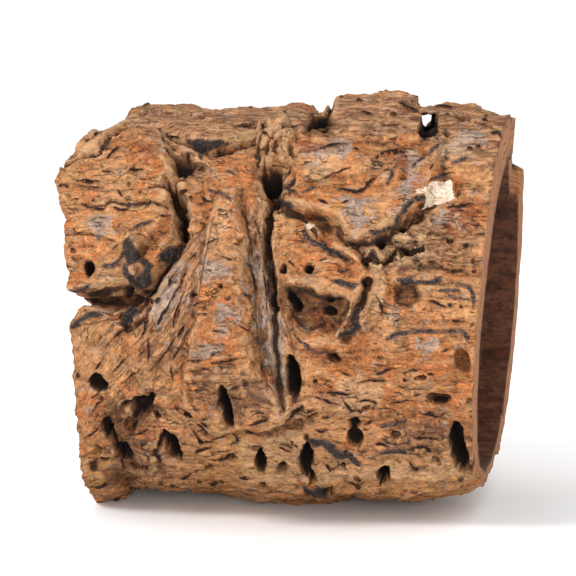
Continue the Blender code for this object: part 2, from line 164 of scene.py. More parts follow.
# Sharper and deeper grooves of the near side that only the bark skin has, in the same form.
NEAR_GULLIES = {
    "behind_shelf": (5, 7.0, [(300, 141), (330, 133), (350, 134), (385, 126), (412, 130), (422, 131)]),
    "behind_west": (5, 6.0, [
        (104, 132), (122, 127), (150, 127), (176, 137), (206, 147), (240, 141), (264, 132),
    ]),
    "beak_shade": (5, 8.0, [(170, 191), (179, 199), (183, 214), (181, 228)]),
    "crevice_floor": (1.5, 2.2, [(272, 186), (270, 210), (268, 240), (270, 268), (272, 298)]),
    "low_line": (1.2, 1.4, [(272, 296), (273, 330), (275, 350), (280, 384), (286, 402)]),
    "shelf_root": (3, 1.4, [(350, 244), (366, 241), (384, 236), (400, 226), (412, 214), (426, 204)]),
    "root_gaps": (2.5, 2.8, [
        (366, 262), (376, 256), (382, 264), (392, 258), (396, 248), (408, 252), (424, 244),
    ]),
    "step_gap": (2, 1.6, [(284, 206), (298, 216), (306, 226), (324, 244), (346, 260)]),
    "recess_back": (5, 4.0, [(84, 292), (104, 293), (130, 286), (140, 288)]),
    "foot_line": (4, 3.0, [(188, 414), (214, 430), (252, 428), (284, 420), (302, 406)]),
    "valley_floor": (4, 3.0, [(184, 232), (176, 252), (158, 272), (146, 296), (128, 326)]),
    "block_side": (4, 5.0, [(332, 98), (330, 112), (318, 124), (308, 130)]),
    "knot_gap": (3, 4.0, [(262, 129), (268, 137), (262, 150), (258, 152)]),
    "knob_foot": (3, 3.5, [(66, 171), (84, 165), (104, 160), (112, 150), (120, 138)]),
    "root_lines": (2, 2.5, [(262, 176), (268, 160), (275, 146), (284, 138), (296, 134)]),
    "cave_mouth": (7, 5.0, [(272, 180), (274, 192)]),
    "top_crease": (2, 2.6, [(116, 119), (150, 112), (190, 115), (214, 121), (250, 126), (290, 121)]),
    "block_crease": (2, 1.6, [(338, 122), (366, 127), (398, 122), (424, 117)]),
    "corner_crease": (2, 2.0, [(440, 126), (466, 119), (486, 124), (504, 136)]),
    "beak_under": (2, 4.0, [(150, 193), (164, 194), (176, 190), (184, 185)]),
    "west_step": (1.2, 1.3, [(84, 211), (104, 211), (112, 207), (132, 211), (156, 206), (170, 212)]),
    "west_lower": (1.2, 1.1, [(58, 235), (92, 236), (118, 246)]),
    "nest_left": (4, 5.0, [(112, 420), (110, 432), (118, 446), (120, 462), (132, 472), (150, 476)]),
    "nest_top": (3, 4.0, [(126, 404), (140, 398), (152, 406), (158, 416)]),
    "nest_right": (3, 3.5, [(163, 430), (158, 446), (146, 458)]),
    "left_rim": (3, 3.0, [(128, 330), (146, 318), (150, 300)]),
}

# Smaller forms of the near side that only the bark skin has: rise (below 0 for a dip), edge, outline.
NEAR_KNOBS = {
    "corner_knob": (3.2, 7, [(74, 146), (92, 136), (116, 138), (118, 150), (104, 160), (80, 162)]),
    "west_lip": (1.8, 6, [
        (126, 132), (160, 136), (172, 156), (184, 186), (176, 190), (160, 170), (140, 150),
    ]),
    "shelf_lip": (2.2, 6, [
        (288, 150), (345, 141), (386, 132), (420, 143), (440, 154), (420, 158), (350, 156), (296, 168),
    ]),
    "face_edge": (1.2, 5, [(240, 200), (246, 204), (256, 300), (264, 362), (256, 366), (248, 300)]),
    "shelf_brow": (1.6, 9, [(300, 168), (340, 158), (376, 160), (372, 176), (340, 184), (306, 182)]),
    "shelf_dip": (-1.6, 9, [
        (306, 188), (340, 186), (374, 178), (392, 166), (396, 178), (376, 192), (350, 200), (314, 200),
    ]),
    "swirl_lobe": (1.8, 9, [(292, 246), (318, 248), (346, 270), (350, 284), (320, 290), (290, 284)]),
    "swirl_lip": (2.0, 7, [
        (352, 306), (364, 312), (354, 336), (330, 348), (300, 348), (300, 338), (334, 336),
    ]),
    "neck": (3.2, 13, [(212, 168), (254, 164), (258, 200), (246, 216), (220, 218), (204, 200)]),
    "shelf_cheek": (1.8, 9, [(316, 200), (346, 200), (360, 214), (348, 230), (320, 216)]),
    "round_knot": (2.2, 8, [(266, 122), (284, 122), (288, 134), (274, 138), (264, 132)]),
    "ear": (3.0, 6, [(372, 262), (384, 266), (388, 286), (380, 318), (366, 332), (364, 318), (374, 296)]),
    "knob_pair": (1.8, 6, [(278, 170), (290, 168), (294, 178), (284, 182)]),
    "low_button": (1.8, 5, [(149, 464), (158, 464), (160, 473), (150, 475)]),
    "foot_chip": (1.6, 6, [(286, 432), (300, 430), (304, 444), (290, 452)]),
    "eye": (0.8, 4, [(326, 318), (338, 315), (344, 321), (334, 327)]),
    "root_west": (2.4, 5, [(370, 250), (380, 246), (388, 254), (384, 268), (372, 266)]),
    "root_middle": (2.6, 5, [(392, 238), (406, 230), (414, 238), (406, 250), (396, 250)]),
    "root_east": (2.2, 5, [(412, 226), (428, 216), (436, 224), (426, 238), (414, 240)]),
    "root_low": (2.0, 5, [(398, 258), (416, 252), (430, 260), (414, 270), (402, 268)]),
    "cave_roof": (6.5, 6, [
        (258, 126), (292, 130), (298, 150), (292, 170), (274, 172), (262, 168), (256, 148),
    ]),
    "cave_root": (2.0, 4, [(264, 146), (272, 144), (276, 160), (270, 172), (262, 166)]),
    "cave_toe": (2.0, 4, [(277, 148), (286, 144), (290, 158), (284, 170), (278, 164)]),
    "stair": (1.4, 6, [(92, 330), (110, 318), (128, 320), (120, 334), (100, 344)]),
}

# The line of the top and of the underside against the sky, in view units, how many millimetres behind
# the axis each lies, and the turns that it shapes: from nothing, from full, to full, to nothing.
TOP_LINE = [
    (60, 126), (90, 130), (111, 124), (129, 111), (151, 107), (186, 103), (213, 109), (227, 108),
    (234, 104), (264, 106), (300, 102), (309, 106), (318, 114), (330, 112), (335, 98), (342, 95),
    (398, 97), (416, 97), (423, 106), (432, 106), (478, 102), (484, 107), (508, 112), (540, 114),
]
TOP_BEHIND = 8.0
TOP_TURNS = (74, 88, 108, 126)
UNDER_LINE = [
    (70, 500), (105, 501), (127, 494), (138, 484), (155, 486), (177, 487), (226, 494), (266, 501),
    (311, 505), (330, 507), (355, 502), (415, 504), (439, 499), (464, 494), (484, 486), (520, 468),
]
UNDER_BEHIND = -12.0
UNDER_TURNS = (232, 252, 292, 318)

# Furrows of the far side: half width and depth in millimetres, line of (along, turn).
FAR_FURROWS = {
    "upper": (6.0, 6.0, [(-100, 124), (-60, 130), (-20, 124), (20, 132), (62, 126)]),
    "shoulder": (5.0, 5.0, [(-30, 146), (5, 151), (48, 146), (100, 152)]),
    "middle": (7.0, 7.0, [(-100, 172), (-62, 168), (-24, 178), (12, 186), (50, 180), (100, 176)]),
    "lower": (5.0, 6.0, [(-70, 202), (-30, 208), (20, 203), (70, 212)]),
    "hip": (6.0, 5.0, [(-100, 228), (-55, 222), (-10, 232), (44, 226), (100, 234)]),
}

# Swells of the far side: rise, half length in millimetres, half girth in degrees, (along, turn).
FAR_SWELLS = {
    "big_knot": (6.0, 24, 15, (30, 163)),
    "left_shoulder": (4.5, 30, 13, (-52, 150)),
    "hip_swell": (4.0, 34, 12, (-36, 216)),
    "right_swell": (3.5, 26, 14, (62, 205)),
    "back_foot": (4.0, 18, 9, (50, 257)),
    "middle_foot": (2.6, 17, 11, (0, 270)),
}

# Worm holes of the near side: (right, down), half width, half height, lean in degrees, depth in mm.
NEAR_HOLES = {
    "long_slot": ((226, 408), 6, 21, -17, 15),
    "left_slot": ((172, 446), 6, 20, -27, 13),
    "crevice_slot": ((293, 378), 7, 22, -4, 15),
    "square_hole": ((260, 465), 6, 10, -3, 15),
    "low_hole": ((306, 460), 7, 15, 3, 13),
    "twin_round": ((355, 438), 8, 8, 0, 7),
    "twin_square": ((354, 424), 6, 6, 0, 10),
    "underside_hole": ((384, 478), 7, 10, 0, 12),
    "east_hole": ((459, 450), 8, 26, -8, 15),
    "olive_pit": ((463, 361), 8, 14, -14, 4),
    "brown_hole": ((97, 384), 10, 8, 38, 8),
    "slab_hole": ((89, 268), 5, 8, 0, 10),
    "round_pit": ((309, 268), 5, 5, 0, 6),
    "bowl_slot": ((295, 302), 5, 11, -28, 9),
    "bowl_round": ((330, 311), 6, 6, 0, 5),
    "foot_dish": ((142, 406), 11, 10, 0, 5),
    "foot_pit": ((108, 428), 6, 10, -20, 8),
}

# Small pits that only the bark skin has, in the same form.
NEAR_PITS = [
    ((130, 426), 7, 8, 0, 4), ((125, 452), 5, 10, -40, 7), ((438, 400), 14, 6, 0, 4),
    ((440, 404), 8, 2.5, 0, 7), ((364, 283), 3, 6, -12, 5), ((283, 268), 4, 6, 0, 5),
    ((311, 214), 8, 6, 0, 4), ((142, 249), 5, 8, 0, 4), ((184, 167), 11, 9, -40, 5),
    ((201, 167), 3, 3, 0, 4), ((116, 227), 4, 3, 0, 2), ((126, 198), 2, 2, 0, 4),
    ((192, 294), 2.4, 2.4, 0, 4), ((221, 287), 2, 2, 0, 4), ((227, 299), 2, 2, 0, 3),
    ((203, 309), 2, 2, 0, 3), ((187, 344), 2, 2, 0, 3), ((213, 355), 2.4, 2.4, 0, 3),
    ((314, 382), 2.4, 2.4, 0, 4), ((420, 379), 7, 3, 0, 4), ((334, 358), 7, 4, 20, 5),
    ((311, 418), 3, 8, 50, 4), ((403, 176), 4, 3, 0, 4), ((446, 134), 4, 4, 0, 3),
    ((446, 142), 3, 2.4, 0, 3), ((462, 116), 6, 4, 0, 3), ((449, 240), 4, 3, 0, 4),
    ((282, 470), 5, 6, 0, 5), ((263, 488), 4, 3, 0, 5), ((328, 492), 7, 4, 0, 5),
    ((402, 228), 5, 4, 40, 6), ((380, 244), 6, 4, 20, 5), ((107, 304), 20, 7, 4, 3),
    ((129, 291), 5, 6, 40, 5), ((330, 298), 4, 3, 0, 4), ((218, 267), 2, 2, 0, 1.5),
    ((396, 436), 5, 5, 0, 4), ((424, 152), 4, 2.5, 0, 3), ((468, 402), 3, 2.4, 0, 3),
    ((404, 253), 6, 3, 10, 4), ((273, 185), 10, 13, 0, 15), ((320, 124), 11, 7, 0, 10),
    ((426, 129), 9, 9, 0, 7), ((257, 451), 8, 4, -10, 5), ((300, 196), 3, 2, 0, 2),
    ((366, 410), 6, 3, 0, 3), ((458, 186), 5, 5, 0, 2.5), ((240, 240), 3, 3, 0, 3),
    ((312, 476), 4, 6, 0, 6), ((418, 470), 5, 4, 0, 5), ((152, 398), 4, 5, 0, 5),
    ((208, 470), 4, 3, 0, 4), ((189, 398), 3, 6, -20, 3), ((340, 470), 5, 3, 0, 4),
    ((436, 462), 4, 5, 0, 5), ((98, 452), 5, 3, 30, 4), ((470, 470), 4, 6, 0, 5),
    ((232, 458), 3, 4, 0, 4),
]

# Worm holes of the far side: (along, turn), half length and half girth in mm, depth.
FAR_HOLES = [
    ((-60, 139), 2.6, 5.0, 9), ((-12, 160), 3.0, 3.0, 12), ((44, 195), 2.4, 6.0, 11),
    ((70, 160), 3.0, 4.0, 9), ((-40, 190), 2.8, 5.5, 12), ((10, 218), 3.0, 3.2, 9),
    ((-66, 236), 2.6, 4.5, 9), ((58, 222), 2.8, 5.0, 12),
]

# The cleft across the top, under a sliver that bridges it: middle, and length, width and height of the
# cut in millimetres. It runs the way the viewer looks.
CLEFT_MIDDLE = (54.0, 3.0, 162.4)
CLEFT_SIZE = (6.6, 92.0, 10.0)
CLEFT_LITTER = 2.6

# The sliver over the cleft: height of its middle, length along the tube, width and thickness in mm.
SLIVER_HEIGHT = 168.0
SLIVER_SPAN = 15.0
SLIVER_WIDTH = 34.0
SLIVER_THICKNESS = 3.0

# A root fibre and a splinter that lie over the bark, as lines in view units.
ROOT_FIBRE = [
    (181, 155), (192, 157), (202, 161), (213, 169), (220, 178), (230, 191), (238, 203), (243, 217),
]
SPLINTER = [(253, 220), (259, 227), (265, 233)]

# Cracks of the near side, as lines in view units, by how wide they gape.
FINE_CRACKS = [
    [(73, 181), (105, 181)], [(57, 186), (70, 187)], [(86, 190), (103, 189), (105, 185)],
    [(102, 170), (113, 172)], [(116, 187), (122, 197)], [(137, 190), (142, 193)], [(71, 199), (79, 199)],
    [(90, 200), (96, 199)], [(85, 209), (104, 209), (110, 202)], [(143, 207), (152, 204), (157, 200)],
    [(153, 217), (173, 216)], [(67, 233), (90, 234)], [(108, 252), (120, 244)], [(103, 312), (116, 317)],
    [(115, 338), (120, 331), (127, 330)], [(162, 131), (172, 136), (183, 140)], [(160, 137), (167, 144)],
    [(161, 144), (172, 157)], [(197, 192), (204, 200), (215, 202)], [(220, 154), (228, 154)],
    [(232, 147), (244, 144)], [(231, 128), (259, 121)], [(204, 245), (221, 236)],
    [(196, 250), (188, 261)], [(232, 243), (242, 246)], [(187, 308), (196, 303), (211, 300)],
    [(238, 324), (249, 332)], [(153, 331), (171, 300)], [(154, 330), (169, 305), (174, 296)],
    [(154, 370), (170, 344), (180, 330)], [(324, 174), (337, 172), (353, 167)], [(351, 149), (360, 148)],
    [(321, 162), (328, 160)], [(355, 100), (364, 101)], [(429, 106), (460, 109)],
    [(481, 121), (489, 121)], [(490, 132), (500, 134)], [(474, 149), (483, 148)],
    [(430, 169), (435, 165)], [(441, 224), (450, 230)], [(474, 229), (482, 225)],
    [(286, 258), (296, 269)], [(424, 301), (433, 301), (450, 309)], [(93, 373), (102, 360)],
    [(108, 377), (125, 359), (129, 352)], [(122, 385), (143, 365)], [(87, 414), (108, 397)],
    [(81, 442), (103, 424)], [(134, 359), (147, 349)], [(112, 342), (122, 331)],
    [(147, 333), (149, 352), (147, 367)], [(127, 435), (143, 433), (153, 425)],
    [(143, 463), (156, 448), (167, 443)], [(91, 487), (109, 483)], [(184, 361), (209, 359)],
    [(209, 365), (247, 357)], [(172, 365), (172, 384)], [(228, 388), (242, 386)],
    [(229, 397), (248, 399)], [(207, 484), (228, 483)], [(355, 383), (370, 381), (389, 381)],
    [(350, 403), (370, 402), (377, 404), (371, 416)], [(386, 403), (421, 400)],
    [(304, 395), (322, 398), (345, 409)], [(399, 374), (423, 369)], [(425, 375), (437, 374)],
    [(412, 395), (422, 394)], [(419, 432), (427, 432)], [(404, 439), (416, 437), (432, 441), (446, 442)],
    [(376, 292), (384, 320)], [(252, 262), (256, 300)], [(262, 250), (266, 290), (268, 320)],
    [(254, 216), (262, 246)], [(178, 268), (166, 292)], [(190, 262), (178, 290), (160, 318)],
    [(148, 318), (140, 340)], [(186, 286), (174, 320), (168, 340)], [(180, 346), (172, 362)],
    [(310, 150), (330, 146), (352, 143)], [(300, 166), (312, 158)], [(366, 160), (392, 152), (412, 152)],
    [(340, 205), (352, 200)], [(318, 200), (330, 205)], [(384, 140), (404, 139)],
    [(398, 346), (412, 344)], [(440, 352), (452, 348)], [(446, 320), (470, 322)],
    [(392, 322), (404, 318)], [(210, 330), (228, 334)], [(214, 256), (238, 262)],
    [(240, 290), (250, 300)], [(196, 418), (212, 430)], [(244, 430), (262, 436)],
    [(314, 430), (330, 432)], [(340, 372), (352, 378)], [(192, 452), (214, 446)],
    [(210, 460), (240, 452)], [(276, 446), (292, 456)], [(404, 462), (430, 470)],
    [(342, 484), (366, 480)], [(96, 152), (114, 146)], [(196, 372), (206, 369), (216, 374)],
    [(112, 452), (122, 462), (124, 474)], [(138, 446), (150, 438)], [(150, 452), (166, 462)],
    [(176, 478), (198, 470)], [(236, 476), (254, 480)], [(318, 420), (336, 414)],
    [(322, 462), (334, 470), (352, 472)], [(372, 444), (390, 446)], [(402, 452), (420, 446), (440, 452)],
    [(360, 426), (376, 420)], [(338, 396), (352, 410), (368, 412)], [(300, 412), (318, 408)],
    [(412, 412), (436, 416), (452, 412)], [(288, 440), (300, 452)], [(104, 332), (96, 344)],
    [(186, 426), (200, 440), (222, 444)], [(232, 432), (240, 444)], [(90, 400), (104, 390)],
]
WIDE_CRACKS = [
    [(112, 206), (119, 210), (129, 209)], [(128, 172), (133, 170), (143, 170)], [(185, 324), (177, 338)],
    [(336, 190), (344, 189), (357, 191), (370, 182), (378, 177)], [(361, 112), (374, 116)],
    [(398, 103), (419, 112)], [(446, 207), (459, 208), (474, 204)], [(325, 392), (353, 396)],
    [(374, 375), (393, 367)], [(119, 145), (111, 155), (106, 159)], [(125, 297), (133, 285)],
    [(270, 419), (248, 425)], [(60, 296), (86, 290)], [(262, 129), (268, 137)], [(260, 149), (266, 151)],
    [(348, 243), (358, 252), (368, 261)],
]

# Depths in millimetres of the small pits, of the charcoal's sunk surface and of the cracks.
PIT_DEPTH = 1.3
CHARCOAL_DEPTH = 0.4
CRACK_DEPTH = 1.4

# Charcoal flecks of the far side: their sizes in millimetres, and how high the lumps are that make one.
FAR_DARK_SIZE = (13.0, 3.5, 3.5)
FAR_DARK_FROM = 0.78

# Charcoal-black marks of the near side in view units: veins as half width and line, then the outlines
# of patches and of the islands of bark left clear in them. The veins along the shelf's lower edge,
# in the cave and under the beak are painted shadow.
DARK_VEINS = [
    (2.2, [(104, 267), (111, 267), (119, 260), (123, 252)]), (2.2, [(135, 229), (150, 221)]),
    (2.0, [(72, 290), (87, 288)]), (3.2, [(73, 326), (81, 319), (90, 314), (100, 314)]),
    (1.7, [(209, 189), (231, 197)]), (4.0, [(278, 203), (290, 205)]),
    (2.6, [(304, 230), (311, 241), (325, 246), (333, 251), (347, 260)]), (1.6, [(270, 262), (271, 292)]),
    (1.0, [(271, 292), (272, 308)]), (3.2, [(358, 310), (353, 319), (357, 327), (350, 334), (341, 335)]),
    (1.6, [(295, 336), (305, 346), (317, 353), (332, 353)]), (2.2, [(412, 284), (439, 279)]),
    (2.0, [(387, 339), (396, 334), (411, 332), (432, 331), (457, 331), (465, 333), (469, 339)]),
    (2.2, [(458, 284), (468, 286), (474, 294), (475, 303)]), (1.6, [(440, 290), (459, 291)]),
    (1.6, [(448, 296), (460, 299)]), (2.2, [(454, 163), (467, 158)]), (2.2, [(431, 180), (444, 174)]),
    (1.6, [(413, 166), (424, 157)]), (1.6, [(429, 153), (438, 145)]), (1.6, [(387, 184), (398, 165)]),
    (2.6, [(404, 209), (416, 198), (424, 197)]), (1.6, [(397, 218), (404, 209)]),
    (2.2, [(370, 232), (382, 231), (394, 225), (398, 219)]),
    (3.8, [(310, 441), (325, 444), (333, 448), (338, 454), (350, 458), (357, 462)]),
    (4.2, [(383, 453), (402, 454)]), (2.0, [(382, 427), (404, 421)]), (2.4, [(287, 187), (296, 192)]),
    (1.8, [(304, 192), (315, 189)]), (2.0, [(398, 279), (416, 285)]), (1.8, [(160, 186), (174, 184)]),
]
DARK_PATCHES = [
    [(184, 139), (193, 140), (203, 141), (223, 140), (233, 144), (225, 147), (210, 148), (201, 159),
     (192, 146)],
    [(122, 243), (129, 237), (134, 243), (141, 256), (149, 260), (155, 266), (150, 273), (151, 283),
     (148, 286), (140, 282), (144, 271), (138, 263), (130, 266), (125, 256)],
    [(124, 264), (132, 256), (146, 258), (152, 270), (151, 284), (142, 288), (130, 284), (123, 275)],
    [(158, 255), (172, 249), (180, 248), (178, 260), (169, 266), (161, 261)],
    [(118, 324), (123, 318), (127, 309), (133, 305), (142, 310), (137, 317), (129, 324), (122, 325)],
    [(329, 279), (338, 278), (348, 281), (360, 283), (351, 289), (337, 286)],
    [(399, 278), (412, 277), (416, 284), (402, 288)],
    [(302, 487), (321, 486), (334, 491), (326, 498), (308, 498)],
]
DARK_ISLANDS = [[(129, 264), (138, 261), (144, 267), (142, 275), (133, 277), (128, 271)]]

# Cream chips, pale lumps, grey weathering and rust of the near side, as outlines in view units.
CREAM_CHIPS = [
    [(431, 182), (451, 180), (452, 188), (455, 197), (441, 203), (433, 205), (419, 210), (427, 200),
     (427, 188)], [(415, 189), (428, 186), (428, 192), (416, 193)],
    [(304, 224), (309, 222), (314, 226), (309, 229)],
]
# Pale lumps of bark; those across the lower middle are also painted light.
PALE_LUMPS = [
    [(234, 440), (300, 430), (312, 450), (292, 492), (244, 488)],
    [(336, 376), (384, 380), (384, 412), (336, 412)],
    [(372, 262), (384, 266), (388, 286), (380, 318), (368, 330), (374, 296)],
    [(350, 246), (366, 250), (378, 262), (366, 266)],
    [(74, 150), (92, 140), (112, 142), (106, 156), (84, 158)],
    [(266, 124), (284, 122), (286, 133), (272, 136)], [(278, 171), (290, 169), (290, 177), (281, 178)],
    [(248, 208), (257, 208), (257, 218), (249, 218)], [(287, 432), (302, 434), (300, 448), (290, 450)],
    [(430, 140), (470, 140), (476, 158), (440, 170)], [(384, 242), (420, 232), (436, 258), (396, 268)],
    [(306, 466), (470, 462), (470, 480), (310, 486)],
    [(300, 160), (330, 150), (350, 160), (330, 185), (304, 180)],
    [(208, 214), (226, 204), (240, 214), (216, 250)],
]
GREY_PATCHES = [
    [(416, 338), (436, 340), (438, 358), (420, 360)], [(300, 146), (350, 141), (350, 152), (310, 162)],
    [(216, 300), (240, 300), (240, 320), (216, 322)], [(206, 262), (232, 258), (226, 280), (208, 284)],
    [(398, 148), (424, 158), (420, 182), (404, 186)], [(402, 186), (420, 184), (412, 204), (392, 214)],
    [(342, 196), (372, 200), (366, 226), (346, 226)], [(84, 214), (110, 216), (112, 232), (88, 232)],
    [(196, 340), (222, 336), (224, 356), (200, 358)], [(440, 140), (480, 128), (484, 146), (446, 156)],
    [(430, 204), (452, 210), (460, 226), (438, 222)], [(150, 290), (178, 262), (186, 300), (160, 340)],
    [(250, 250), (266, 246), (274, 300), (290, 390), (270, 380), (258, 320)],
    [(380, 300), (400, 310), (396, 330)],
]
RUST_PATCHES = [
    [(185, 297), (211, 295), (211, 303), (186, 305)], [(237, 320), (249, 321), (249, 330), (238, 330)],
    [(259, 365), (268, 366), (279, 392), (274, 398), (262, 382)],
    [(248, 426), (270, 419), (280, 410), (282, 414)], [(482, 145), (498, 144), (498, 150), (483, 151)],
    [(392, 432), (399, 432), (399, 441), (393, 441)], [(292, 135), (306, 136), (304, 146), (294, 145)],
    [(438, 206), (480, 205), (478, 240), (446, 236)], [(390, 150), (410, 148), (408, 166), (392, 170)],
    [(300, 140), (322, 142), (318, 158), (302, 156)], [(330, 262), (352, 262), (350, 274), (332, 274)],
    [(420, 304), (470, 306), (468, 326), (424, 326)], [(128, 140), (156, 150), (150, 166), (132, 160)],
]

# Broad tints of the near side, as outlines in view units: orange, yellow ochre and brown.
ORANGE_PATCHES = [
    [(66, 226), (104, 222), (116, 250), (96, 286), (70, 284)],
    [(296, 160), (350, 150), (376, 186), (350, 224), (304, 206)],
    [(188, 280), (244, 286), (244, 366), (186, 364)], [(308, 346), (384, 340), (410, 400), (330, 404)],
    [(72, 350), (92, 346), (100, 460), (82, 452)], [(140, 216), (180, 214), (186, 240), (156, 256)],
    [(280, 224), (330, 240), (344, 276), (284, 262)], [(384, 336), (476, 338), (474, 380), (390, 376)],
    [(188, 150), (240, 146), (250, 196), (200, 206)], [(440, 370), (476, 376), (470, 430), (446, 430)],
]
OCHRE_PATCHES = [
    [(320, 196), (350, 190), (356, 214), (330, 220)], [(200, 440), (290, 446), (300, 492), (200, 488)],
    [(300, 470), (480, 466), (478, 496), (310, 502)], [(90, 440), (120, 446), (120, 476), (94, 480)],
    [(96, 214), (120, 214), (124, 240), (100, 244)],
]
BROWN_PATCHES = [
    [(100, 396), (160, 390), (180, 440), (170, 486), (110, 486)],
    [(190, 366), (250, 366), (300, 408), (240, 424), (190, 420)],
    [(272, 290), (350, 290), (350, 334), (280, 334)], [(396, 210), (480, 230), (482, 270), (396, 262)],
    [(366, 114), (400, 104), (424, 110), (434, 140), (374, 142)],
    [(118, 112), (200, 110), (262, 122), (250, 134), (180, 122)],
    [(346, 234), (398, 226), (410, 250), (384, 268), (352, 260)],
    [(80, 288), (140, 286), (146, 312), (90, 310)], [(380, 424), (480, 420), (480, 450), (390, 454)],
]

# Grey-brown weathering of the top, painted dark olive shade of hollows, and knotty places, as outlines
# in view units.
TOP_FACES = [
    [(100, 128), (150, 104), (300, 102), (334, 116), (300, 130), (262, 130), (200, 142), (150, 126)],
    [(334, 94), (418, 94), (426, 112), (416, 134), (340, 138), (306, 134)],
    [(430, 104), (510, 110), (502, 172), (446, 160), (436, 130)],
]
WEATHERED = TOP_FACES + [
    [(128, 124), (170, 130), (204, 150), (214, 176), (186, 182), (164, 150)],
    [(206, 226), (212, 240), (200, 280), (186, 330), (172, 376), (140, 352), (132, 330), (168, 280),
     (190, 244)],
    [(246, 204), (264, 210), (270, 262), (274, 308), (286, 392), (274, 396), (258, 362), (250, 300)],
    [(352, 236), (440, 214), (462, 236), (440, 268), (372, 270)],
]
SHADED = [
    [(104, 412), (122, 410), (126, 440), (146, 472), (120, 472), (108, 444)],
    [(278, 278), (300, 290), (340, 300), (350, 320), (330, 334), (290, 322), (276, 306)],
    [(390, 286), (416, 284), (422, 300), (404, 310), (392, 300)],
    [(166, 150), (190, 158), (204, 170), (186, 180)],
    [(86, 296), (126, 296), (140, 300), (120, 312), (90, 308)],
    [(110, 410), (126, 404), (122, 440), (112, 444)],
    [(100, 470), (120, 464), (140, 476), (130, 488), (104, 486)],
    [(426, 390), (452, 394), (448, 408), (428, 404)], [(300, 118), (332, 112), (336, 138), (304, 138)],
]
KNOTTY = [
    [(352, 236), (440, 230), (446, 272), (404, 276), (360, 268)],
    [(262, 134), (290, 140), (294, 184), (262, 178)], [(110, 400), (160, 396), (168, 470), (120, 476)],
    [(80, 284), (150, 282), (152, 318), (84, 312)], [(284, 276), (356, 280), (352, 330), (290, 330)],
    [(300, 434), (440, 436), (470, 470), (460, 492), (300, 500)],
    [(300, 112), (440, 130), (440, 142), (300, 140)],
]

# Where the fibres don't run along the tube: slanting down to the left, or nearly upright.
SLANTING = [
    [(200, 232), (214, 214), (204, 262), (196, 310), (186, 362), (170, 378), (128, 336), (150, 296),
     (176, 262)], [(56, 330), (128, 316), (160, 352), (152, 396), (128, 440), (66, 462), (56, 400)],
]
UPRIGHT = [
    [(246, 196), (260, 196), (272, 262), (278, 304), (294, 352), (300, 398), (286, 412), (262, 372),
     (256, 310)],
]
SLANT_LEAN = 54.0
UPRIGHT_LEAN = 98.0

# The grain that only the shading shows: its strength and its depth in millimetres.
BUMP_STRENGTH = 1.05
BUMP_DEPTH = 1.25

# The studio, in metres and watts: floor, surround, and the lights' names, places, sizes and powers.
FLOOR_SIZE = 12.0
FLOOR_WHITE = (0.97, 0.97, 0.97, 1.0)
SURROUND_STRENGTH = 1.05
LIGHTS = [
    ("key_light", (-0.7, -1.0, 1.2), 0.4, 15.0), ("fill_light", (0.35, -1.4, 0.10), 0.8, 15.0),
]

# How finely the skin is laid out, and how many triangles it keeps.
NEAR_TURNS = (-90.0, 104.0, 640)
FAR_TURNS = (104.0, 270.0, 190)
MIDDLE_SPAN = (-81.0, 91.0)
RINGS = 410
BORE_RINGS = 84
END_RINGS = 22
SKIN_TRIANGLES = 194000

# What the third value of the field of zones says: 0 is bark, then the wall's two ends and the bore.
BROKEN_ZONE = 0.4
SAWN_ZONE = 0.5
BORE_ZONE = 1.0

# How far the lumps of an end face stand out, as a share of their full rise.
SAWN_ROUGHNESS = 0.03
BROKEN_ROUGHNESS = 1.0


def ramp(value, low, high):
    """Rises smoothly from 0 at low to 1 at high: 3s squared less 2s cubed of the share s between."""
    share = np.clip((value - low) / (high - low), 0.0, 1.0)
    return share * share * (3.0 - 2.0 * share)


def line_distance(right, down, line, reach=1e9):
    """Distance to an open line of points, as the least of the distances to its stretches, up to a reach."""
    nearest = np.full(right.shape, float(reach))
    places = np.array(line, float)
    low, high = places.min(axis=0) - reach, places.max(axis=0) + reach
    near = (right >= low[0]) & (right <= high[0]) & (down >= low[1]) & (down <= high[1])
    x, y = right[near], down[near]
    found = np.full(x.shape, float(reach))
    for (x0, y0), (x1, y1) in zip(line[:-1], line[1:]):
        dx, dy = x1 - x0, y1 - y0
        share = np.clip(((x - x0) * dx + (y - y0) * dy) / (dx * dx + dy * dy), 0.0, 1.0)
        found = np.minimum(found, np.hypot(x - x0 - share * dx, y - y0 - share * dy))
    nearest[near] = found
    return nearest


def depth_inside(right, down, outline, reach=1e9):
    """Distance to a closed outline, above 0 inside it and below 0 outside, by counting crossings."""
    inside = np.zeros(right.shape, bool)
    closed = outline + outline[:1]
    for (x0, y0), (x1, y1) in zip(closed[:-1], closed[1:]):
        if y0 != y1:
            inside ^= ((y0 > down) != (y1 > down)) & (right < x0 + (down - y0) * (x1 - x0) / (y1 - y0))
    return np.where(inside, 1.0, -1.0) * line_distance(right, down, closed, reach)


def view_axes():
    """The viewer's right, up and back directions."""
    turn, rise = math.radians(VIEW_TURN), math.radians(VIEW_RISE)
    right = np.array([math.cos(turn), math.sin(turn), 0.0])
    back = np.array([math.sin(turn) * math.cos(rise), -math.cos(turn) * math.cos(rise), math.sin(rise)])
    return right, np.cross(back, right), back


def seen_at(points):
    """Where the viewer sees each point, right and down: its reach across and up over its distance."""
    right, up, back = view_axes()
    reach = points - np.array(VIEW_TARGET)
    scale = VIEW_SCALE / (VIEW_DISTANCE - reach @ back)
    return VIEW_SIZE / 2.0 + (reach @ right) * scale, VIEW_SIZE / 2.0 - (reach @ up) * scale


def waves(along, turn, table):
    """A sum of sines of the place along and of the turn."""
    total = np.zeros(np.shape(along))
    for rise, waves_along, waves_round, phase in table:
        total += rise * np.sin(waves_along * along / 28.0 + waves_round * turn + phase)
    return total


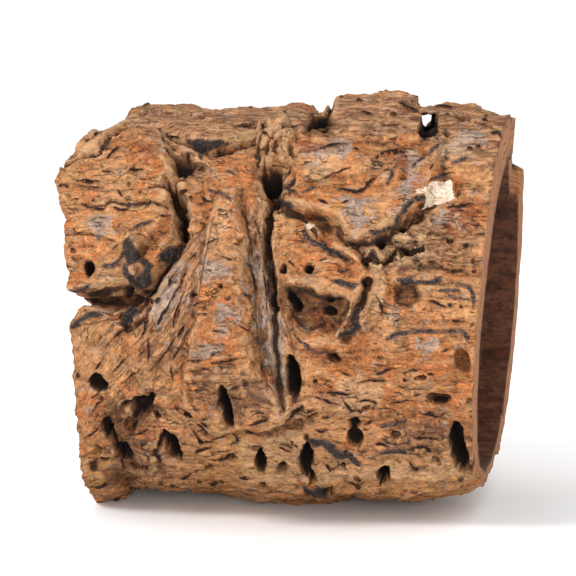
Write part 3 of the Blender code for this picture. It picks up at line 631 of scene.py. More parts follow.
def lumps(points, size, seed):
    """Smooth random lumps from -1 to 1: random values on a lattice of a size, blended between corners."""
    table = np.random.default_rng(seed).uniform(-1.0, 1.0, (LUMP_CELLS,) * 3)
    place = points / size
    corner = np.floor(place).astype(int)
    share = place - corner
    share = share * share * (3.0 - 2.0 * share)
    total = np.zeros(points.shape[:-1])
    for step in np.ndindex(2, 2, 2):
        weight = np.prod(np.where(step, share, 1.0 - share), axis=-1)
        total += weight * table[tuple(np.moveaxis((corner + step) % LUMP_CELLS, -1, 0))]
    return total


def lumpy(points, layers, base=0.0):
    """A base plus layers of lumps, each times its rise."""
    for rise, size, seed in layers:
        base = base + rise * lumps(points, size, seed)
    return base


def bent(points, layers):
    """Points pushed by layers of lumps along X, Y and Z, each direction from a seed of its own."""
    moved = points
    for rise, size, seed in layers:
        moved = moved + rise * np.stack([lumps(points, size, seed + axis) for axis in range(3)], axis=-1)
    return moved


def pores(points, size, chance, seed):
    """Round pits from 0 to 1: in each lattice cell that the chance picks, one pit of a random radius."""
    draw = np.random.default_rng(seed)
    cells = (PORE_CELLS,) * 3
    centres = draw.uniform(0.2, 0.8, cells + (3,))
    radii = np.where(draw.uniform(0, 1, cells) < chance, draw.uniform(0.22, 0.5, cells), 1e-6)
    place = points / size
    corner = np.floor(place).astype(int)
    depth = np.zeros(points.shape[:-1])
    for step in np.ndindex(3, 3, 3):
        cell = corner + np.array(step) - 1
        pick = tuple(np.moveaxis(cell % PORE_CELLS, -1, 0))
        gap = np.linalg.norm(place - cell - centres[pick], axis=-1)
        depth = np.maximum(depth, 1.0 - ramp(gap / radii[pick], 0.55, 1.0))
    return depth


def around(along, radius, turn):
    """Points at a radius and a turn round the tube's axis."""
    return np.stack([along, -radius * np.cos(turn), AXIS_HEIGHT + radius * np.sin(turn)], axis=-1)


def facing_viewer(turn):
    """1 where the round tube faces the viewer and 0 where it turns away, smooth between."""
    back = view_axes()[2]
    return ramp(-np.cos(turn) * back[1] + np.sin(turn) * back[2], -0.10, 0.10)


def near_relief(along, turn, radius):
    """Rise of the near side's slabs less its hollows and grooves, each with its own soft edge."""
    points = around(along, radius, turn)
    right, down = seen_at(points)
    right, down = lumpy(points, FORM_BEND_RIGHT, right), lumpy(points, FORM_BEND_DOWN, down)
    rise = np.zeros(along.shape)
    for height, edge, outline in list(NEAR_SLABS.values()) + list(NEAR_KNOBS.values()):
        rise += height * ramp(depth_inside(right, down, outline, 2.0 * edge), -edge * 0.6, edge * 0.6)
    for depth, edge, outline in NEAR_HOLLOWS.values():
        rise -= depth * ramp(depth_inside(right, down, outline, 2.0 * edge), -edge * 0.5, edge * 0.5)
    for half_width, depth, line in list(NEAR_GROOVES.values()) + list(NEAR_GULLIES.values()):
        away = line_distance(right, down, line, 2.0 * half_width)
        rise -= depth * (1.0 - ramp(away, 0.15 * half_width, 1.2 * half_width))
    return rise * facing_viewer(turn)


def line_places(line, behind):
    """Along and height of the points of a view line, where it lies a distance behind the axis."""
    right, up, back = view_axes()
    places = []
    for x, y in line:
        u, v = (x - VIEW_SIZE / 2.0) / VIEW_SCALE, (VIEW_SIZE / 2.0 - y) / VIEW_SCALE
        rows = np.stack([right + u * back, up + v * back])
        known = rows[:, 1] * (behind - VIEW_TARGET[1])
        reach = np.linalg.solve(rows[:, (0, 2)], VIEW_DISTANCE * np.array([u, v]) - known)
        places.append((reach[0] + VIEW_TARGET[0], reach[1] + VIEW_TARGET[2]))
    return np.array(places)


def line_relief(along, turn):
    """Rise that brings the top and the underside to their lines against the sky."""
    rise = np.zeros(along.shape)
    for line, behind, turns, sign in (
        (TOP_LINE, TOP_BEHIND, TOP_TURNS, 1.0), (UNDER_LINE, UNDER_BEHIND, UNDER_TURNS, -1.0)
    ):
        degrees = np.degrees(turn) + np.where(np.degrees(turn) < turns[3] - 360.0, 360.0, 0.0)
        places = line_places(line, behind)
        height = np.interp(along, places[:, 0], places[:, 1])
        level = math.sqrt(BARK_RADIUS ** 2 - behind ** 2)
        share = ramp(degrees, turns[0], turns[1]) * (1.0 - ramp(degrees, turns[2], turns[3]))
        rise += share * (sign * (height - AXIS_HEIGHT) - level)
    return rise


def far_relief(along, turn):
    """Rise of the far side's swells less its furrows."""
    points = around(along, BARK_RADIUS, turn)
    girth = lumpy(points, FURROW_BEND, turn * BARK_RADIUS)
    depths = 0.85 + 0.6 * lumps(points, 21.0, 98)
    rise = np.zeros(along.shape)
    for half_width, depth, line in FAR_FURROWS.values():
        path = [(x, math.radians(angle) * BARK_RADIUS) for x, angle in line]
        away = line_distance(along, girth, path, 2.4 * half_width)
        rise -= depths * depth * (1.0 - ramp(away, 0.0, 1.7 * half_width))
    for height, half_length, half_girth, (x, angle) in FAR_SWELLS.values():
        round_off = (np.degrees(turn) - angle + 180.0) % 360.0 - 180.0
        off = np.hypot((along - x) / half_length, round_off / half_girth)
        rise += height * (1.0 - ramp(off, 0.2, 1.3))
    return rise


def bark_radius(along, turn):
    """Outer radius of the bark before its fine texture: the round tube plus swellings, lumps and forms."""
    base = BARK_RADIUS + waves(along, turn, SWELLINGS)
    base = lumpy(around(along, BARK_RADIUS, turn), BARK_LUMPS, base)
    return base + near_relief(along, turn, base) + line_relief(along, turn) + far_relief(along, turn)


def bore_radius(along, turn):
    """Inner radius of the wall: round, with slow waves, hollows and blunt ribs along it."""
    points = around(along, BORE_RADIUS, turn)
    base = BORE_RADIUS + waves(along, turn, BORE_SWELLINGS) + lumpy(points, BORE_LUMPS)
    return lumpy(points, BORE_RIBS, base) + 1.2 * pores(points, 7.0, 0.3, 34)


def turns_round():
    """Turns of the sections, from the underside round, closer together on the near side."""
    spans = [np.linspace(*span, endpoint=False) for span in (NEAR_TURNS, FAR_TURNS)]
    return np.radians(np.concatenate(spans))


def left_end(turn):
    """Place along the tube where the bark is broken off, with small ragged teeth."""
    turns, places = zip(*LEFT_END)
    ring = around(np.zeros(turn.shape), BARK_RADIUS, turn)
    return lumpy(ring, BROKEN_END_TEETH, np.interp(np.degrees(turn), turns, places))


def right_end(turn, radius):
    """Place along the tube of the saw cut, or of the chip where the bark ends short of it."""
    turns, places = zip(*RIGHT_CHIP)
    chip = np.interp(np.degrees(turn), turns, places)
    return np.minimum(SAW_CUT + SAW_LEAN * radius * np.sin(turn), chip)


def wall_places(rings, radius):
    """Grid of places along and turns: level rings that bend only near the two ends."""
    turn = turns_round()[None, :]
    share = np.linspace(0.0, 1.0, rings)[:, None]
    along = MIDDLE_SPAN[0] + share * (MIDDLE_SPAN[1] - MIDDLE_SPAN[0])
    along = along + (left_end(turn) - MIDDLE_SPAN[0]) * (1.0 - share) ** 7
    along = along + (right_end(turn, radius) - MIDDLE_SPAN[1]) * share ** 7
    return along, np.broadcast_to(turn, along.shape)


def leaned(points, lean):
    """Points turned about Y, so that X runs along fibres that lean by an angle from the tube."""
    c, s = math.cos(math.radians(lean)), math.sin(math.radians(lean))
    x, y, z = points[..., 0], points[..., 1], points[..., 2]
    return np.stack([c * x + s * z, y, c * z - s * x], axis=-1)


def fibre_texture(points):
    """Height of flakes, ribs and checks along X: stepped noise, folded noise and cut lines."""
    place = bent(points, FIBRE_BEND)
    broad = lumps(place, (20.0, 6.5, 6.5), 54)
    steps = (broad + 1.0) * 2.6
    flakes = (np.floor(steps) + ramp(steps - np.floor(steps), 0.6, 1.0)) / 2.6 - 1.0
    ribs = 0.5 - np.abs(lumps(place, (13.0, 4.2, 4.2), 67))
    small_ribs = 0.5 - np.abs(lumps(place, (7.0, 2.1, 2.1), 55))
    fine = lumps(place, (3.6, 1.3, 1.3), 56)
    grit = lumps(points, 1.1, 57)
    line = np.abs(lumps(place, (16.0, 4.4, 4.4), 58))
    checks = (1.0 - ramp(line, 0.02, 0.12)) * ramp(lumps(points, 8.5, 59), 0.05, 0.35)
    roughness = 0.75 + 0.45 * lumps(points, 19.0, 68)
    height = 0.9 * flakes + 1.3 * ribs + roughness * (1.2 * small_ribs + 0.5 * fine + 0.3 * grit)
    return height - 0.9 * checks


def strand_texture(points):
    """Height of long strands along X: folded noise in two sizes, very long and thin."""
    place = bent(points, STRAND_BEND)
    thick = 0.5 - np.abs(lumps(place, (44.0, 3.4, 3.4), 77))
    thin = 0.5 - np.abs(lumps(place, (24.0, 1.7, 1.7), 78))
    return 1.6 * thick + 0.9 * thin


def zone_share(right, down, outlines, edge, facing):
    """1 inside any of the outlines and 0 outside, smooth over an edge."""
    share = np.zeros(right.shape)
    for outline in outlines:
        share = np.maximum(share, ramp(depth_inside(right, down, outline, 2.0 * edge), -edge, edge))
    return share * facing


def mark_field(right, down, outlines, width, facing):
    """0.5 on the edges of the outlines, rising to 1 inside and falling to 0 outside over a width."""
    field = np.zeros(right.shape)
    for outline in outlines:
        inside = depth_inside(right, down, outline, width)
        field = np.maximum(field, np.clip(0.5 + inside / (2.0 * width), 0.0, 1.0))
    return field * facing


def hole_depth(right, down, holes, facing):
    """Depth of the worm holes in millimetres, leaning ellipses with steep walls, and the painted shade in
    them.
    """
    depth, shade = np.zeros(right.shape), np.zeros(right.shape)
    for (x, y), half_width, half_height, lean, deep in holes:
        c, s = math.cos(math.radians(lean)), math.sin(math.radians(lean))
        dx, dy = right - x, down - y
        off = np.hypot((c * dx + s * dy) / half_width, (c * dy - s * dx) / half_height)
        share = 1.0 - ramp(off, 0.72, 1.12)
        depth = np.maximum(depth, deep * share)
        shade = np.maximum(shade, np.sqrt(share) * min(1.0, (deep / 8.0) ** 1.5))
    return depth * facing, shade * facing


def far_holes(along, turn):
    """Depth of the far side's worm holes in millimetres."""
    depth = np.zeros(along.shape)
    for (x, angle), half_length, half_girth, deep in FAR_HOLES:
        off = np.hypot((along - x) / half_length, (turn - math.radians(angle)) * BARK_RADIUS / half_girth)
        depth = np.maximum(depth, deep * (1.0 - ramp(off, 0.72, 1.12)))
    return depth


def crack_line(right, down, line, spread):
    """1 on a crack's line, falling to 0 four view units away, and by a third from its middle to its tips."""
    lengths = [math.dist(first, last) for first, last in zip(line[:-1], line[1:])]
    whole, passed = sum(lengths), 0.0
    field = np.zeros(right.shape)
    for (x0, y0), (x1, y1), length in zip(line[:-1], line[1:], lengths):
        share = np.clip(((right - x0) * (x1 - x0) + (down - y0) * (y1 - y0)) / length ** 2, 0.0, 1.0)
        away = np.hypot(right - x0 - share * (x1 - x0), down - y0 - share * (y1 - y0))
        place = (passed + share * length) / whole
        fade = 0.34 * (2.0 * place - 1.0) ** 2
        field = np.maximum(field, 1.0 - np.maximum(away - spread, 0.0) / 4.0 - fade)
        passed += length
    return field


def crack_field(right, down, facing):
    """The strongest crack at each point; wide cracks stay at their full strength a little further."""
    field = np.zeros(right.shape)
    for lines, spread in ((FINE_CRACKS, -0.3), (WIDE_CRACKS, 0.3)):
        for line in lines:
            places = np.array(line, float)
            low, high = places.min(axis=0) - 5.0, places.max(axis=0) + 5.0
            near = (right > low[0]) & (right < high[0]) & (down > low[1]) & (down < high[1])
            field[near] = np.maximum(field[near], crack_line(right[near], down[near], line, spread))
    return field * facing


def dark_field(right, down, facing):
    """Charcoal veins and patches, some veins painted shadow, less the islands in them: 0.5 on edges,
    1 three view units inside.
    """
    field = mark_field(right, down, DARK_PATCHES, 3.0, facing)
    for half_width, line in DARK_VEINS:
        away = line_distance(right, down, line, 3.0 + half_width)
        field = np.maximum(field, np.clip(0.5 + (0.92 * half_width - away) / 6.0, 0.0, 1.0) * facing)
    return np.minimum(field, 1.0 - mark_field(right, down, DARK_ISLANDS, 3.0, facing))


def cleft_depth(along, turn, radius):
    """How far the cleft cuts down from the skin: the skin's height above its floor, inside its width."""
    points = around(along, radius, turn)
    lean = math.radians(VIEW_TURN)
    x, y = points[..., 0] - CLEFT_MIDDLE[0], points[..., 1] - CLEFT_MIDDLE[1]
    across = np.abs(math.cos(lean) * x + math.sin(lean) * y) / (CLEFT_SIZE[0] / 2.0)
    across += 0.3 * lumps(points, 4.0, 94)
    floor = CLEFT_MIDDLE[2] - CLEFT_SIZE[2] / 2.0 + CLEFT_LITTER * (1.0 + lumps(points, 3.4, 95))
    above = np.maximum(points[..., 2] - floor, 0.0) * (np.sin(turn) > 0.6)
    return above * (1.0 - ramp(across, 0.82, 1.1))


def blurred(field, rings, sections):
    """Mean of a grid over a window of rings and sections, by running sums, wrapping round the tube."""
    padded = np.pad(field, ((rings, rings), (0, 0)), mode="edge")
    total = np.cumsum(np.pad(padded, ((1, 0), (0, 0))), axis=0)
    field = (total[2 * rings + 1:] - total[:-2 * rings - 1]) / (2 * rings + 1)
    padded = np.pad(field, ((0, 0), (sections, sections)), mode="wrap")
    total = np.cumsum(np.pad(padded, ((0, 0), (1, 0))), axis=1)
    return (total[:, 2 * sections + 1:] - total[:, :-2 * sections - 1]) / (2 * sections + 1)


def grid_normals(points):
    """Outward directions of a grid of points, from the cross of its two neighbour differences."""
    along = np.gradient(points, axis=0)
    round_about = (np.roll(points, -1, axis=1) - np.roll(points, 1, axis=1)) / 2.0
    normal = np.cross(round_about, along)
    return normal / (np.linalg.norm(normal, axis=-1, keepdims=True) + 1e-9)


def bark_face():
    """Points and fields of the outer face, from the broken end to the saw cut."""
    along, turn = wall_places(RINGS, BARK_RADIUS)
    facing = facing_viewer(turn)
    radius = bark_radius(along, turn)
    points = around(along, radius, turn)
    right, down = seen_at(points)
    slant = zone_share(right, down, SLANTING, 7.0, facing)
    upright = zone_share(right, down, UPRIGHT, 5.0, facing) * (1.0 - slant)
    texture = (1.0 - slant - upright) * fibre_texture(points)
    for share, lean in ((slant, SLANT_LEAN), (upright, UPRIGHT_LEAN)):
        place = leaned(points, lean)
        texture += share * (0.6 * fibre_texture(place) + strand_texture(place))
    texture *= 1.0 - 0.65 * zone_share(right, down, TOP_FACES, 6.0, facing)
    knotty = zone_share(right, down, KNOTTY, 8.0, facing)
    texture += knotty * lumpy(points, KNOT_LUMPS)
    bent_right, bent_down = lumpy(points, MARK_BEND_RIGHT, right), lumpy(points, MARK_BEND_DOWN, down)
    far_dark = np.clip(0.5 + 1.8 * (lumps(points, FAR_DARK_SIZE, 99) - FAR_DARK_FROM), 0.0, 1.0)
    dark = np.maximum(dark_field(bent_right, bent_down, facing), far_dark * (1.0 - facing))
    cracks = crack_field(bent_right, bent_down, facing)
    holes, hole_shade = hole_depth(bent_right, bent_down, list(NEAR_HOLES.values()) + NEAR_PITS, facing)
    back_holes = far_holes(along, turn)
    # The far holes get painted shade by their depth.
    holes, hole_shade = np.maximum(holes, back_holes), np.maximum(hole_shade, np.sqrt(back_holes / 12.0))
    small_pits = pores(points, 4.6, 0.2, 61) * ramp(lumps(points, 16.0, 62), -0.1, 0.4)
    cleft = cleft_depth(along, turn, radius)
    # Painted shade on the walls of the cleft.
    hole_shade = np.maximum(hole_shade, 0.75 * ramp(cleft, 0.5, 5.0))
    surface = radius + texture - PIT_DEPTH * small_pits - CHARCOAL_DEPTH * ramp(dark, 0.45, 0.6)
    cut = CRACK_DEPTH * ramp(cracks, 0.58, 0.92)
    points = points + (surface - radius - cut)[..., None] * grid_normals(points)
    points = points - (holes + cleft)[..., None] * (around(0.0 * along, 1.0, turn) - [0.0, 0.0, AXIS_HEIGHT])
    points[..., 2] = np.maximum(points[..., 2], 0.0)
    points[-1, :, 0] = right_end(turn[-1], radius[-1])
    fields = {
        # Charcoal, some veins of it painted shadow; cracks; the painted shade of holes, pits and the cleft.
        "marks": np.stack([dark, cracks, hole_shade], -1),
        "tones": np.stack([mark_field(bent_right, bent_down, patches, edge, facing) for patches, edge in (
            (GREY_PATCHES, 8.0), (RUST_PATCHES, 5.0), (PALE_LUMPS, 7.0))], -1),
        # Weathering, then the painted shade of the shaded hollows and of the small pits.
        "shades": np.stack([
            mark_field(right, down, WEATHERED, 10.0, facing), mark_field(right, down, SHADED, 8.0, facing),
            np.clip(small_pits, 0.0, 1.0),
        ], -1),
        "tints": np.stack([mark_field(right, down, patches, 14.0, facing) for patches in (
            ORANGE_PATCHES, OCHRE_PATCHES, BROWN_PATCHES)], -1),
        # Height against the surroundings, fine and broad, from which the shader paints highlight on raised
        # edges and shade in hollows; then the cream chips.
        "forms": np.stack([
            np.clip(0.5 + (surface - blurred(surface, 4, 4)) / 2.4, 0.0, 1.0),
            np.clip(0.5 + (surface - blurred(surface, 18, 22)) / 12.0, 0.0, 1.0),
            mark_field(bent_right, bent_down, CREAM_CHIPS, 3.0, facing),
        ], -1),
        "zones": np.stack([slant, upright, np.zeros(along.shape)], -1),
    }
    return points, fields


def plain_fields(shape, zone, pale=0.0, weathered=0.0):
    """Point fields of a face with no marks of its own: its zone, how pale and how weathered it is."""
    values = {
        "marks": (0.0, 0.0, 0.0), "tones": (0.0, 0.0, pale), "shades": (weathered, 0.0, 0.0),
        "tints": (0.0, 0.0, 0.0), "forms": (0.5, 0.5, 0.0), "zones": (0.0, 0.0, zone),
    }
    return {name: np.broadcast_to(value, shape) for name, value in values.items()}


def bore_face():
    """Points and fields of the bore, from the saw cut back to the broken end."""
    along, turn = wall_places(BORE_RINGS, BORE_RADIUS)
    points = around(along, bore_radius(along, turn), turn) - np.array([0.0, 0.0, BORE_DROP])
    points[-1, :, 0] = right_end(turn[-1], (points[-1, :, 2] - AXIS_HEIGHT) / np.sin(turn[-1] + 1e-6))
    return points[::-1], plain_fields(points.shape, BORE_ZONE)


def end_band(outer, inner, rough, zone):
    """Rings across the wall's end from one rim to the other, straight, with a rough push along the tube."""
    share = np.linspace(0.0, 1.0, END_RINGS + 2)[1:-1, None, None]
    points = outer[None] + share * (inner - outer)[None]
    hold = np.sin(math.pi * share[..., 0]) ** 0.5
    points[..., 0] += rough * lumpy(points, END_FACE_LUMPS) * hold
    return points, plain_fields(points.shape, zone)


def skin_grid(outside, outside_fields):
    """The closed loop of rings with its fields: outer face, saw cut, bore and broken end."""
    inside, inside_fields = bore_face()
    saw, saw_fields = end_band(outside[-1], inside[0], SAWN_ROUGHNESS, SAWN_ZONE)
    broken, broken_fields = end_band(inside[-1], outside[0], BROKEN_ROUGHNESS, BROKEN_ZONE)
    points = np.concatenate([outside, saw, inside, broken])
    names = outside_fields.keys()
    parts = (outside_fields, saw_fields, inside_fields, broken_fields)
    return points, {name: np.concatenate([part[name] for part in parts]) for name in names}


def grid_faces(rings, sections):
    """Corner numbers of a grid that closes both ways, as whole arrays."""
    ring, section = np.meshgrid(np.arange(rings), np.arange(sections), indexing="ij")
    after, beside = (ring + 1) % rings, (section + 1) % sections
    corners = [(ring, section), (ring, beside), (after, beside), (after, section)]
    return np.stack([a * sections + b for a, b in corners], axis=-1).reshape(-1, 4)


def finished(piece, material):
    """Gives a piece its material and its ride on the branch, with smooth shading."""
    piece.data.materials.append(material)
    piece.data.polygons.foreach_set("use_smooth", np.ones(len(piece.data.polygons), bool))
    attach(piece, "root")
    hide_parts("cork_branch")


def placed(name, mesh, fields):
    """A mesh as an object of the scene, with its point fields."""
    for field_name, field in fields.items():
        layer = mesh.attributes.new(field_name, "FLOAT_VECTOR", "POINT")
        layer.data.foreach_set("vector", np.asarray(field, float).ravel())
    piece = bpy.data.objects.new(name, mesh)
    bpy.context.scene.collection.objects.link(piece)
    return piece


def mesh_piece(name, points, faces, fields):
    """A mesh object from points in millimetres, four-cornered faces and point fields."""
    mesh = bpy.data.meshes.new(name)
    flat = np.asarray(points, float).reshape(-1, 3)
    mesh.vertices.add(len(flat))
    mesh.vertices.foreach_set("co", (flat * MM).ravel())
    mesh.loops.add(faces.size)
    mesh.loops.foreach_set("vertex_index", faces.ravel())
    mesh.polygons.add(len(faces))
    mesh.polygons.foreach_set("loop_start", np.arange(0, faces.size, 4))
    mesh.update(calc_edges=True)
    mesh.validate()
    return placed(name, mesh, fields)


def thinned(piece, triangles):
    """Replaces a piece's mesh by one of fewer triangles, kept where the surface is roughest."""
    shrink = piece.modifiers.new("fewer_faces", "DECIMATE")
    shrink.ratio = triangles / (2.0 * len(piece.data.polygons))
    graph = bpy.context.evaluated_depsgraph_get()
    slim = bpy.data.meshes.new_from_object(piece.evaluated_get(graph), depsgraph=graph)
    piece.modifiers.clear()
    piece.data = slim
    return piece


def make_skin(outside, outside_fields, material):
    """The whole bark skin, as one closed mesh."""
    points, fields = skin_grid(outside, outside_fields)
    piece = mesh_piece("bark_skin", points, grid_faces(*points.shape[:2]), fields)
    finished(thinned(piece, SKIN_TRIANGLES), material)


def limb_mesh(name, path, half_width, half_height, side, pale, weathered):
    """A closed tube: rings of a half width along a side and a half height across it, drawn in to tips."""
    path = np.asarray(path, float)
    rings, sections = len(path), 24
    tangent = np.gradient(path, axis=0)
    tangent /= np.linalg.norm(tangent, axis=1, keepdims=True)
    level = np.array(side) - (tangent @ np.array(side))[:, None] * tangent
    level /= np.linalg.norm(level, axis=1, keepdims=True)
    upward = np.cross(tangent, level)
    angle = np.linspace(0.0, 2.0 * math.pi, sections, endpoint=False)[None, :, None]
    full = np.sqrt(1.0 - np.linspace(-0.98, 0.98, rings) ** 8)[:, None, None]
    ring = np.cos(angle) * half_width * level[:, None] + np.sin(angle) * half_height * upward[:, None]
    points = bent(path[:, None] + full * ring, [(0.35 * half_height, 2.2, 91)])
    ends = [path[:1] - 0.2 * tangent[:1], path[-1:] + 0.2 * tangent[-1:]]
    flat = np.concatenate([points.reshape(-1, 3)] + ends)
    start, step = np.arange(rings - 1)[:, None] * sections, np.arange(sections)[None, :]
    beside = (step + 1) % sections
    walls = np.stack([start + step, start + beside, start + sections + beside, start + sections + step], -1)
    step, beside, last = step[0], beside[0], (rings - 1) * sections
    tips = [(rings * sections, b, a) for a, b in zip(step.tolist(), beside.tolist())]
    tips += [(rings * sections + 1, last + a, last + b) for a, b in zip(step.tolist(), beside.tolist())]
    mesh = bpy.data.meshes.new(name)
    mesh.from_pydata((flat * MM).tolist(), [], walls.reshape(-1, 4).tolist() + tips)
    return placed(name, mesh, plain_fields(flat.shape, 0.0, pale, weathered))


def on_bark(outside, line, lift):
    """Points over the outer face where the viewer sees a line, lifted off it by a distance."""
    right, down = seen_at(outside)
    normal = grid_normals(outside)
    spots = []
    for x, y in line:
        gap = np.hypot(right - x, down - y) + 4.0 * (outside[..., 1] > 0.0)
        nearest = np.unravel_index(np.argmin(gap), gap.shape)
        spots.append(outside[nearest] + lift * normal[nearest])
    spots = np.array(spots)
    stations = np.linspace(0.0, len(line) - 1.0, 8 * len(line))
    return np.stack([np.interp(stations, np.arange(len(line)), spots[:, axis]) for axis in range(3)], axis=-1)


def make_sliver(material):
    """The sliver of bark that bridges the cleft: a flat band across the crest, with a slight ripple along it.
    """
    span = np.linspace(-SLIVER_SPAN / 2.0, SLIVER_SPAN / 2.0, 26)
    level = np.full(span.shape, CLEFT_MIDDLE[1])
    path = np.stack([CLEFT_MIDDLE[0] + span, level, SLIVER_HEIGHT + 0.3 * np.sin(span)], axis=-1)
    half_width, half_height = SLIVER_WIDTH / 2.0, SLIVER_THICKNESS / 2.0
    finished(limb_mesh("crest_sliver", path, half_width, half_height, (0.0, 1.0, 0.0), 0.55, 1.0), material)


def make_fibres(outside, material):
    """A root fibre that crosses the bark beside the buttress, and a splinter in the crevice."""
    for name, line, radius, lift in (
        ("root_fibre", ROOT_FIBRE, 0.28, 0.6), ("crevice_splinter", SPLINTER, 0.42, 1.2),
    ):
        path = on_bark(outside, line, lift)
        finished(limb_mesh(name, path, radius, radius, (0.2, 0.0, 1.0), 1.0, 0.3), material)


# Materials

def group_tree(name, inputs, outputs):
    """A shader node group with its input and output nodes; inputs are (name, kind, value)."""
    tree = bpy.data.node_groups.new(name, "ShaderNodeTree")
    for label, kind, value in inputs:
        socket = tree.interface.new_socket(label, in_out="INPUT", socket_type=kind)
        if value is not None:
            socket.default_value = value
    for label, kind in outputs:
        tree.interface.new_socket(label, in_out="OUTPUT", socket_type=kind)
    return tree, tree.nodes.new("NodeGroupInput").outputs, tree.nodes.new("NodeGroupOutput").inputs


class Wiring:
    """Short calls for making and linking nodes in one tree."""

    def __init__(self, tree):
        self.tree = tree

    def set(self, socket, value):
        """Links a socket to another, or gives it a value."""
        if isinstance(value, bpy.types.NodeSocket):
            self.tree.links.new(value, socket)
        elif value is not None:
            socket.default_value = value

    def math(self, kind, first, second=None):
        """A Math node's result."""
        node = self.tree.nodes.new("ShaderNodeMath")
        node.operation = kind
        self.set(node.inputs[0], first)
        self.set(node.inputs[1], second)
        return node.outputs[0]

    def plus(self, first, second, times):
        """The first value plus the second times a number."""
        return self.math("ADD", first, self.math("MULTIPLY", second, times))

    def vector(self, kind, first, second=None, scale=None):
        """A Vector Math node's result."""
        node = self.tree.nodes.new("ShaderNodeVectorMath")
        node.operation = kind
        self.set(node.inputs[0], first)
        self.set(node.inputs[1], second)
        self.set(node.inputs[3], scale)
        return node.outputs[0]

    def mix(self, share, first, second, kind="MIX"):
        """A colour mix."""
        node = self.tree.nodes.new("ShaderNodeMix")
        node.data_type = "RGBA"
        node.blend_type = kind
        self.set(node.inputs[0], share)
        self.set(node.inputs[6], first)
        self.set(node.inputs[7], second)
        return node.outputs[2]

    def smooth(self, value, low, high, start=0.0, end=1.0):
        """A smooth step of a value between two bounds."""
        node = self.tree.nodes.new("ShaderNodeMapRange")
        node.interpolation_type = "SMOOTHSTEP"
        for socket, number in zip(node.inputs[:5], (value, low, high, start, end)):
            self.set(socket, number)
        return node.outputs[0]

    def over(self, colour, value, low, high, share, top, kind="MIX"):
        """A colour with another laid over it: none where a value is at low, a share of it from high on."""
        return self.mix(self.smooth(value, low, high, 0.0, share), colour, top, kind)

    def noise(self, place, scale, detail=2.0, roughness=0.5):
        """A noise texture's outputs: its value, from about 0 to 1, and its colour."""
        node = self.tree.nodes.new("ShaderNodeTexNoise")
        self.set(node.inputs["Vector"], place)
        self.set(node.inputs["Scale"], scale)
        self.set(node.inputs["Detail"], detail)
        self.set(node.inputs["Roughness"], roughness)
        return node.outputs

    def field(self, name):
        """The three values of a point field."""
        node = self.tree.nodes.new("ShaderNodeAttribute")
        node.attribute_name = name
        split = self.tree.nodes.new("ShaderNodeSeparateXYZ")
        self.set(split.inputs[0], node.outputs["Vector"])
        return split.outputs


def fibre_group():
    """Fine marks along bark fibres: streaks, hair cracks and dark pores in a stretched, bent space."""
    tree, inside, out = group_tree(
        "bark_fibres",
        [("Place", "NodeSocketVector", None), ("Slant", "NodeSocketFloat", 0.0),
         ("Upright", "NodeSocketFloat", 0.0)],
        [(label, "NodeSocketFloat") for label in ("Streak", "Hair Crack", "Pore", "Blotch", "Relief")],
    )
    w = Wiring(tree)
    warp = w.vector("SUBTRACT", w.noise(inside["Place"], 0.11, 3.0)[1], (0.5, 0.5, 0.5))
    place = w.vector("ADD", inside["Place"], w.vector("SCALE", warp, scale=6.0))
    slant = w.math("MULTIPLY", w.smooth(inside["Slant"], 0.4, 0.6), math.radians(SLANT_LEAN))
    upright = w.math("MULTIPLY", w.smooth(inside["Upright"], 0.4, 0.6), math.radians(UPRIGHT_LEAN))
    turned = tree.nodes.new("ShaderNodeVectorRotate")
    turned.rotation_type = "Y_AXIS"
    w.set(turned.inputs["Vector"], place)
    w.set(turned.inputs["Angle"], w.math("ADD", slant, upright))
    stretched = w.vector("MULTIPLY", turned.outputs[0], (0.14, 1.0, 1.0))
    streak = w.noise(stretched, 0.62, 5.0, 0.7)[0]
    broad = w.noise(stretched, 0.17, 4.0, 0.6)[0]
    long_place = w.vector("MULTIPLY", turned.outputs[0], (0.075, 1.0, 1.0))
    line = w.math("ABSOLUTE", w.math("SUBTRACT", w.noise(long_place, 0.34, 2.0)[0], 0.5))
    gate = w.smooth(w.noise(inside["Place"], 0.12, 3.0)[0], 0.52, 0.60)
    hair = w.math("MULTIPLY", w.smooth(line, 0.003, 0.024, 1.0, 0.0), gate)
    grit = w.noise(w.vector("MULTIPLY", turned.outputs[0], (0.6, 1.0, 1.0)), 1.1, 4.0, 0.7)[0]
    pore = w.smooth(grit, 0.32, 0.40, 1.0, 0.0)
    w.set(out["Streak"], streak)
    w.set(out["Hair Crack"], hair)
    w.set(out["Pore"], pore)
    w.set(out["Blotch"], broad)
    relief = w.math("SUBTRACT", w.plus(streak, grit, 0.7), w.math("MULTIPLY", hair, 0.6))
    w.set(out["Relief"], w.math("SUBTRACT", relief, w.math("MULTIPLY", pore, 0.3)))
    return tree


def plain_colour(red, green, blue):
    """A colour for a node from its screen values, 0 to 255."""
    def linear(value):
        value /= 255.0
        return value / 12.92 if value <= 0.04045 else ((value + 0.055) / 1.055) ** 2.4
    return (linear(red), linear(green), linear(blue), 1.0)


